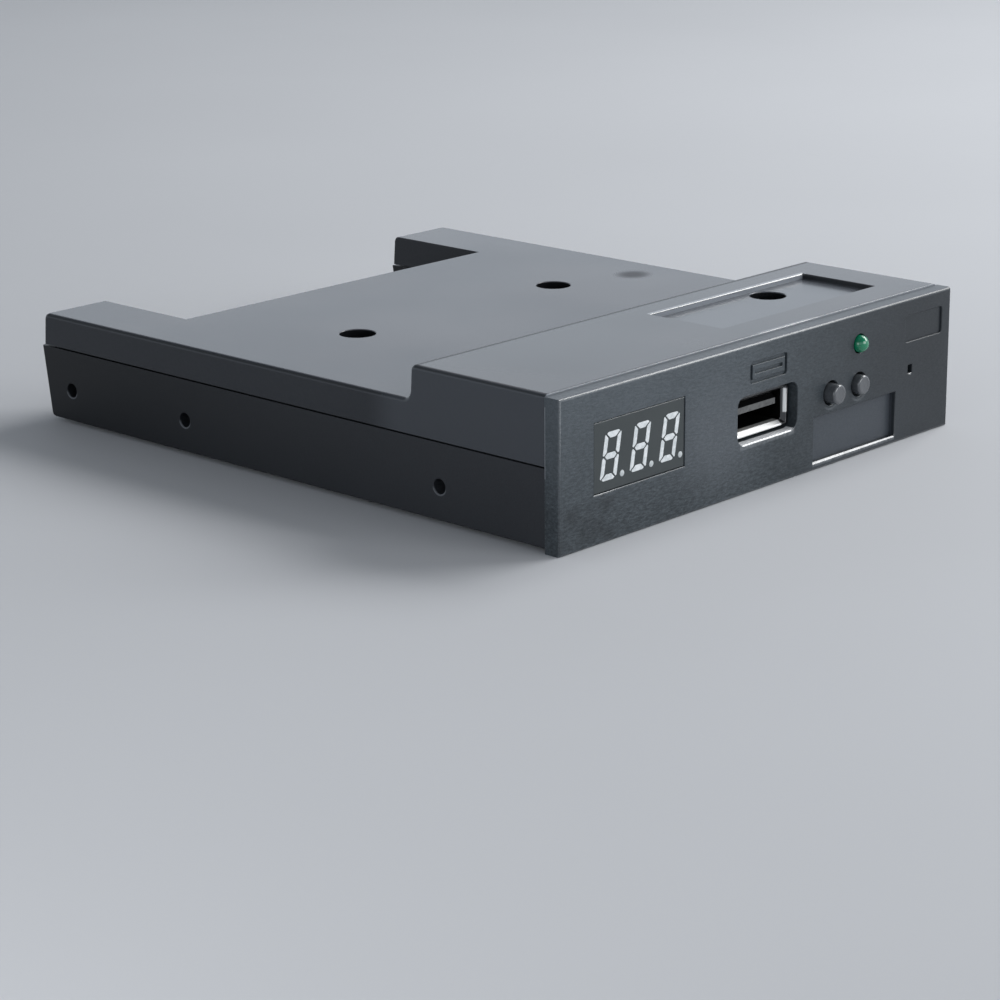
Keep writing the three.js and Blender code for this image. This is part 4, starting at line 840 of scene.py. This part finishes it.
def on_face(x, y, z):
    return abs(y) < 0.01 and abs(x) < 50 and 0.6 < z < 24.1


def pocket_foot_rim(x, y, z):
    return on_face(x, y, z) and abs(z - pocket_foot) < 0.02


def port_foot_rim(x, y, z):
    return on_face(x, y, z) and abs(x - port_x) < 7 and z < 8.6


def engraved_bar(x, y, z):
    return on_face(x, y, z) and abs(x - port_x) < 5.5 and z > 18


def window_rim(x, y, z):
    return on_face(x, y, z) and window_left - 0.1 < x < window_right + 0.1 and z > 8


def rear_rim(x, y, z):
    return 3.0 < y < 3.1 and (abs(x) > 50 or z > 24.3)


soften(bezel, (0.45, pocket_foot_rim), (0.40, port_foot_rim), (0.09, engraved_bar),
       (0.09, window_rim), (0.15, on_face), (0.05, rear_rim), segments=3, profile=0.38)
hand_in(bezel, "housing", "bezel_plastic", "front_bezel", bezel_finish)

# %% [markdown]
# ## Cover and tray
# Two shells meet at a fine dark seam along the sides. The rear rim of the label
# pocket is a broad polished edge, and the rims of the screw wells are rounded.
# The solids have the right shapes already, so only their rims are worked on.

# %% Cover
cover = adopt("top_cover", "cover")


def on_top(x, y, z):
    return abs(z - top_z) < 0.01


def well_rim(x, y, z):
    return z > 18.5 and any(abs(math.hypot(x - wx, y - wy) - well_radius) < 0.06
                            for wx, wy, rim_z in screw_wells)


soften(cover,
       (0.27, lambda x, y, z: on_top(x, y, z) and label_rear - 0.1 < y < label_rear + 0.1),
       (0.16, well_rim),
       (0.28, lambda x, y, z: on_top(x, y, z) and y < 3.2),
       (0.16, lambda x, y, z: on_top(x, y, z) and y < 25.3 and abs(x) < 49.7),
       segments=3, profile=0.42)
hand_in(cover, "housing", "case_plastic", "top_cover", cover_finish)

# %% Tray
tray = adopt("bottom_tray", "tray")


def side_hole_rim(x, y, z):
    return abs(x) > 50 and any(
        abs(math.hypot(y - hole_y, z - side_hole_z) - side_hole_radius) < 0.06
        for hole_y in side_holes)


def seam_rim(x, y, z):
    return abs(z - 13.4) < 0.02 and abs(x) > 50.4


soften(tray, (0.15, side_hole_rim), (0.06, seam_rim), (0.20, lambda x, y, z: z < 0.05))
hand_in(tray, "housing", "tray_plastic", "bottom_tray", tray_finish)

# %% [markdown]
# ## Display
# Three digits of seven white bars each stand in a dark block. One bar of each
# kind is a flat outline that is drawn back and rounded, and the digit is built
# from copies, which keeps all its bars alike. Leaning it is one matrix on its mesh.

# %% One bar of each kind
bar_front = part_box("display_shell")[0].y - 0.03 * mm
bar_depth = 0.5
half_height = 3.78          # of a digit
shoulder, inner = half_height - 0.23, half_height - 0.95


def bar(name, corners):
    """A flat outline with a corner at each x, z place, drawn back into a bar."""
    fresh()
    bpy.ops.mesh.primitive_circle_add(vertices=len(corners), radius=1 * mm,
                                      fill_type="NGON", rotation=(math.pi / 2, 0, 0))
    piece = bpy.context.object
    piece.name = name
    bpy.ops.object.transform_apply(location=True, rotation=True, scale=True)
    for vertex, (x, z) in zip(piece.data.vertices, corners):
        vertex.co = Vector((x * mm, 0, z * mm))
    pick(piece, "FACE", everywhere)
    bpy.ops.mesh.extrude_region_move(TRANSFORM_OT_translate={"value": (0, bar_depth * mm, 0)})
    bpy.ops.mesh.select_all(action="SELECT")
    bpy.ops.mesh.normals_make_consistent(inside=False)
    pick(piece, "EDGE", lambda e: abs(e.verts[0].co.y - e.verts[1].co.y) > 0.4 * mm)
    bpy.ops.mesh.bevel(offset=0.10 * mm, segments=3, affect="EDGES", clamp_overlap=True)
    pick(piece, "FACE", faces_front)
    bpy.ops.mesh.inset(thickness=0.05 * mm, depth=0.03 * mm)
    fresh()
    return piece


top_bar = bar("top_bar", [(-1.16, half_height), (1.16, half_height), (1.50, shoulder),
                          (0.61, inner), (-0.61, inner), (-1.50, shoulder)])
side_bar = bar("side_bar", [(1.78, half_height - 0.30), (1.92, half_height - 0.50),
                            (1.92, 0.30), (1.67, 0.10), (1.08, 0.62), (1.08, inner)])
middle_bar = bar("middle_bar", [(-1.35, 0), (-0.85, 0.475), (0.85, 0.475),
                                (1.35, 0), (0.85, -0.475), (-0.85, -0.475)])
print("bars", [len(b.data.polygons) for b in (top_bar, side_bar, middle_bar)])


# %% One digit
def copy_of(piece, name, matrix):
    made = bpy.data.objects.new(name, piece.data.copy())
    bpy.context.collection.objects.link(made)
    made.data.transform(matrix)
    return made


def join_all(pieces, name):
    fresh()
    for piece in pieces:
        piece.select_set(True)
    bpy.context.view_layer.objects.active = pieces[0]
    bpy.ops.object.join()
    pieces[0].name = name
    return pieces[0]


bars = [copy_of(top_bar, "bar", Matrix.Diagonal((1, 1, sz, 1))) for sz in (1, -1)]
bars += [copy_of(side_bar, "bar", Matrix.Diagonal((sx, 1, sz, 1)))
         for sx in (1, -1) for sz in (1, -1)]
bars.append(middle_bar)
digit = join_all(bars, "digit")
slant = Matrix(((1, 0, 0.18, 0), (0, 1, 0, 0), (0, 0, 1, 0), (0, 0, 0, 1)))
digit.data.transform(slant)
print("digit leans, width", round(digit.dimensions.x / mm, 2), "mm")

# %% Its dot, and the three digits
fresh()
bpy.ops.mesh.primitive_cylinder_add(vertices=24, radius=0.5 * mm, depth=bar_depth * mm,
                                    location=(dot_x * mm, bar_depth / 2 * mm, dot_z * mm),
                                    rotation=(math.pi / 2, 0, 0))
dot = bpy.context.object
bpy.ops.object.transform_apply(location=True, rotation=True, scale=True)
pick(dot, "FACE", faces_front)
bpy.ops.mesh.inset(thickness=0.06 * mm, depth=0.04 * mm)
digit = join_all([digit, dot], "digit")
digits = [copy_of(digit, "digit", Matrix.Translation((x * mm, bar_front, window_z * mm)))
          for x in digit_places]
segments = join_all(digits, "display_segments")
edit_all(segments)
bpy.ops.mesh.normals_make_consistent(inside=False)
fresh()
for spare in (top_bar, side_bar, digit):
    bpy.data.objects.remove(spare)
hand_in(segments, "housing", "display_resin", "display_filling", segment_finish)

# %% [markdown]
# The block behind the bars is a frame filled with cast resin from the back, with
# two rows of pins. The frame is a block with a recess at its rear, and the
# resin and pins are the rear end of the CAD's own filling, cut off with bisect.
# The bars sit in recesses: a slightly swollen copy of them is taken away from the
# block by a boolean, which leaves a fine dark joint round each bar.

# %% Display body
shell_low, shell_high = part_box("display_shell")
joint = Vector((0.14, 0, 0.14)) * mm        # the joint in the window is a hairline
low, high = shell_low - joint, shell_high + joint
fresh()
bpy.ops.mesh.primitive_cube_add(size=1, location=(low + high) / 2)
display = bpy.context.object
display.name = "display_body"
display.scale = high - low
bpy.ops.object.transform_apply(location=True, rotation=True, scale=True)
pick(display, "FACE", lambda f: f.normal.y > 0.9)
bpy.ops.mesh.inset(thickness=0.8 * mm)
bpy.ops.transform.translate(value=(0, -0.5 * mm, 0))
soften(display, (0.10, lambda x, y, z: y < 0.3), (0.08, everywhere), segments=3)

# %% Recesses round the bars
cutter = copy_of(segments, "cutter", Matrix.Identity(4))
edit_all(cutter)
bpy.ops.transform.shrink_fatten(value=0.035 * mm)
work_on(display)
bpy.ops.object.modifier_add(type="BOOLEAN")
display.modifiers[-1].operation, display.modifiers[-1].object = "DIFFERENCE", cutter
bpy.ops.object.modifier_apply(modifier=display.modifiers[-1].name)
display.data.materials.clear()
bpy.data.objects.remove(cutter)
hand_in(display, "housing", "display_black", "display_shell", display_finish)

# %% Display resin and pins
resin = adopt("display_filling", "display_resin")
pick(resin, "FACE", everywhere)
bpy.ops.mesh.bisect(plane_co=(0, shell_high.y - 0.45 * mm, 0), plane_no=(0, 1, 0),
                    use_fill=True, clear_inner=True)
fresh()
hand_in(resin, "housing", "display_resin", "display_filling", white_finish, gilt_finish)
colour_faces(resin, lambda x, y, z: y > from_face(shell_high)[1] + 0.02)

# %% [markdown]
# ## Buttons and lamp
# The buttons are the plungers of two push switches. Their faces are slightly
# hollow with a rounded rim, which two insets and a small push inwards give. The
# lamp is a small dome of green resin that stands through a round hole.

# %% Buttons
for side in ("left", "right"):
    button = adopt("button_" + side, side + "_push")
    tip = from_face(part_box("button_" + side)[0])[1]
    soften(button, (0.12, lambda x, y, z: y < tip + 0.4), (0.06, everywhere))
    pick(button, "FACE", lambda f: faces_front(f) and middle(f)[1] < tip + 0.01)
    bpy.ops.mesh.inset(thickness=0.22 * mm)
    bpy.ops.mesh.inset(thickness=0.35 * mm)
    bpy.ops.transform.translate(value=(0, 0.07 * mm, 0))
    fresh()
    hand_in(button, side + "_button", "button_plastic", "button_" + side, button_finish)

# %% Lamp
lens = adopt("lamp_lens", "lamp_dome")
soften(lens, (0.08, everywhere))
hand_in(lens, "housing", "lamp_resin", "lamp_lens", lamp_finish)

# %% [markdown]
# ## USB socket
# A folded steel shell with a flared mouth holds a black tongue with four gilt
# contacts. The sheet's cut edges are a little round. Plugs have worn the lower lip
# and the right of the mouth rougher, and these are painted bright as highlights;
# the rest of the sheet is dull and painted dark as painted shade.


# %% Socket shell
def port_tints(paint):
    """Each place's share, its colour and its added roughness."""
    x, y, z = paint.place()
    # Painted highlight: the lower lip and the right of the mouth are painted near white;
    # their extra roughness is wear.
    lip = y.fall(3.3, 3.7) * z.fall(9.95, 10.1) * x.fall(5.2, 5.6)
    right_side = y.fall(2.25, 2.4) * x.rise(6.2, 6.35) * between(z, 11.2, 14.9, 0.3) * 0.8
    worn_highlight = lip.most(right_side)
    # Painted shade: the rest of the shell is painted dark.
    return (((1.0 - worn_highlight) * 0.9, tone(52, 53, 55), 0.08),
            (worn_highlight, tone(240, 240, 238), 0.30))


port_finish = bare_metal("port_finish", *steel_tones, 0.24, port_tints)
shell = adopt("usb_shell", "port_shell")
soften(shell, (0.07, everywhere))
hand_in(shell, "housing", "steel", "usb_shell", port_finish)


# %% [markdown]
# The tongue is black plastic. Its upright end is painted pale grey in a mottled
# pattern, and its upper side, which lies in the dark of the shell, is painted near
# black as painted shade.


# %% Socket tongue
def tongue_tints(paint):
    """Each place's share, its colour and its added roughness."""
    _, y, z = paint.place()
    # The upright end is painted pale grey in a mottled pattern.
    scuff = paint.noise(0.8, detail=3, seed=3.0).rise(0.25, 0.6) * 0.4 + 0.6
    tip = y.fall(2.95, 3.1) * z.rise(12.3, 12.5)
    # Painted shade: the upper side is painted near black.
    top = z.rise(13.5, 13.6)
    return ((tip * scuff * (1.0 - top), tone(112, 113, 113), 0.1),
            (top, tone(6, 6, 7), 0.6))


tongue_finish = moulded_plastic("tongue_finish", tone(18, 18, 20), tone(26, 26, 28),
                                0.38, 0.15, 0.004, tints=tongue_tints, mirror=0.06)
tongue = adopt("usb_insulator", "port_tongue")
soften(tongue, (0.06, everywhere))
hand_in(tongue, "housing", "black_plastic", "usb_insulator", tongue_finish)

# %% [markdown]
# ## Back of the board
# The headers are rows of square gilt pins in black strips, and a white one takes
# the power lead. A pin's tip is chamfered so that it finds its socket. Pins and
# strip are one solid, so faces get one of two finishes by their place. Two small
# caps bridge pairs of the jumper pins, and each rides on a body of its own.

# %% Pin headers
strip_front, strip_rear = 106.6, 109.45     # y of the black strips
for node, name in (("data_header", "data_pins"), ("jumper_header", "jumper_pins")):
    tip = from_face(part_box(node)[1])[1]
    header = adopt(node, name)
    soften(header, (0.16, lambda x, y, z: abs(y - tip) < 0.01),
           (0.16, lambda x, y, z: z < 5.81),
           (0.12, lambda x, y, z: strip_front + 0.1 < y < strip_rear - 0.05))
    hand_in(header, "housing", "black_plastic", node, black_finish, gilt_finish)
    colour_faces(header, lambda x, y, z: not strip_front < y < strip_rear)

# %% Power header
power_pins = (25.19, 27.69, 30.19, 32.69)   # x of the four pins
power = adopt("power_header", "power_pins")
soften(power, (0.16, everywhere))
hand_in(power, "housing", "white_plastic", "power_header", white_finish, steel_finish)


def power_pin(x, y, z):
    """The pins under the white block, in its mouth and in front of it."""
    beside = any(abs(x - pin) < 0.42 for pin in power_pins)
    return beside and (z < 8.6 or (y > 108.0 and 11.85 < z < 12.75) or y < 105.5)


colour_faces(power, power_pin)

# %% Jumper caps
for side in ("inner", "outer"):
    cap = adopt("jumper_cap_" + side, side + "_jumper")
    soften(cap, (0.18, everywhere))
    hand_in(cap, side + "_cap", "black_plastic", "jumper_cap_" + side, black_finish)

# %% [markdown]
# ## Parts on the board
# Chips are black epoxy with tinned leads, and the capacitors stand in drawn
# aluminium cans with a dark stripe and a black foot. They hide in the case and
# are kept simple. The case screws show only as dark heads down in their wells.

# %% Chips
lead = 1.02         # how far the leads stand out of a chip's body
for node in ("controller_chip", "buffer_chip_left", "buffer_chip_right"):
    low, high = (from_face(corner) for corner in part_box(node))
    chip = adopt(node, node.replace("chip", "circuit"))
    hand_in(chip, "housing", "black_plastic", node, black_finish, steel_finish)
    lead_y = lead if node == "controller_chip" else 0       # leads on all four sides
    colour_faces(chip, lambda x, y, z: not (
        low[0] + lead < x < high[0] - lead
        and low[1] + lead_y - 0.01 < y < high[1] - lead_y + 0.01))

# %% Capacitors
can_paint = Paint("capacitor_finish")
across, _, height = can_paint.place()
stripe = across.rise(36.5, 36.6) * height.rise(15.0, 15.1)
can_cloud = can_paint.noise(2.5, detail=3)
capacitor_finish = can_paint.finish(
    base_color=can_paint.blend(stripe, can_paint.blend(
        can_cloud, tone(188, 190, 192), tone(212, 213, 214)), tone(30, 30, 34)),
    metallic=1.0 - stripe, roughness=0.30 + stripe * 0.2 + (can_cloud - 0.5) * 0.1)
foot_z = 9.65       # top of the black foot
for node in ("capacitor_front", "capacitor_rear"):
    can = adopt(node, node.replace("capacitor", "can"))
    soften(can, (0.15, lambda x, y, z: z > 15))
    hand_in(can, "housing", "can_metal", node, capacitor_finish, black_finish)
    colour_faces(can, lambda x, y, z: z < foot_z)

# %% Screws
for side in ("left", "right", "front"):
    screw = adopt("case_screw_" + side, side + "_screw")
    soften(screw, (0.10, lambda x, y, z: z > 8))
    hand_in(screw, "housing", "steel", "case_screw_" + side, screw_finish)
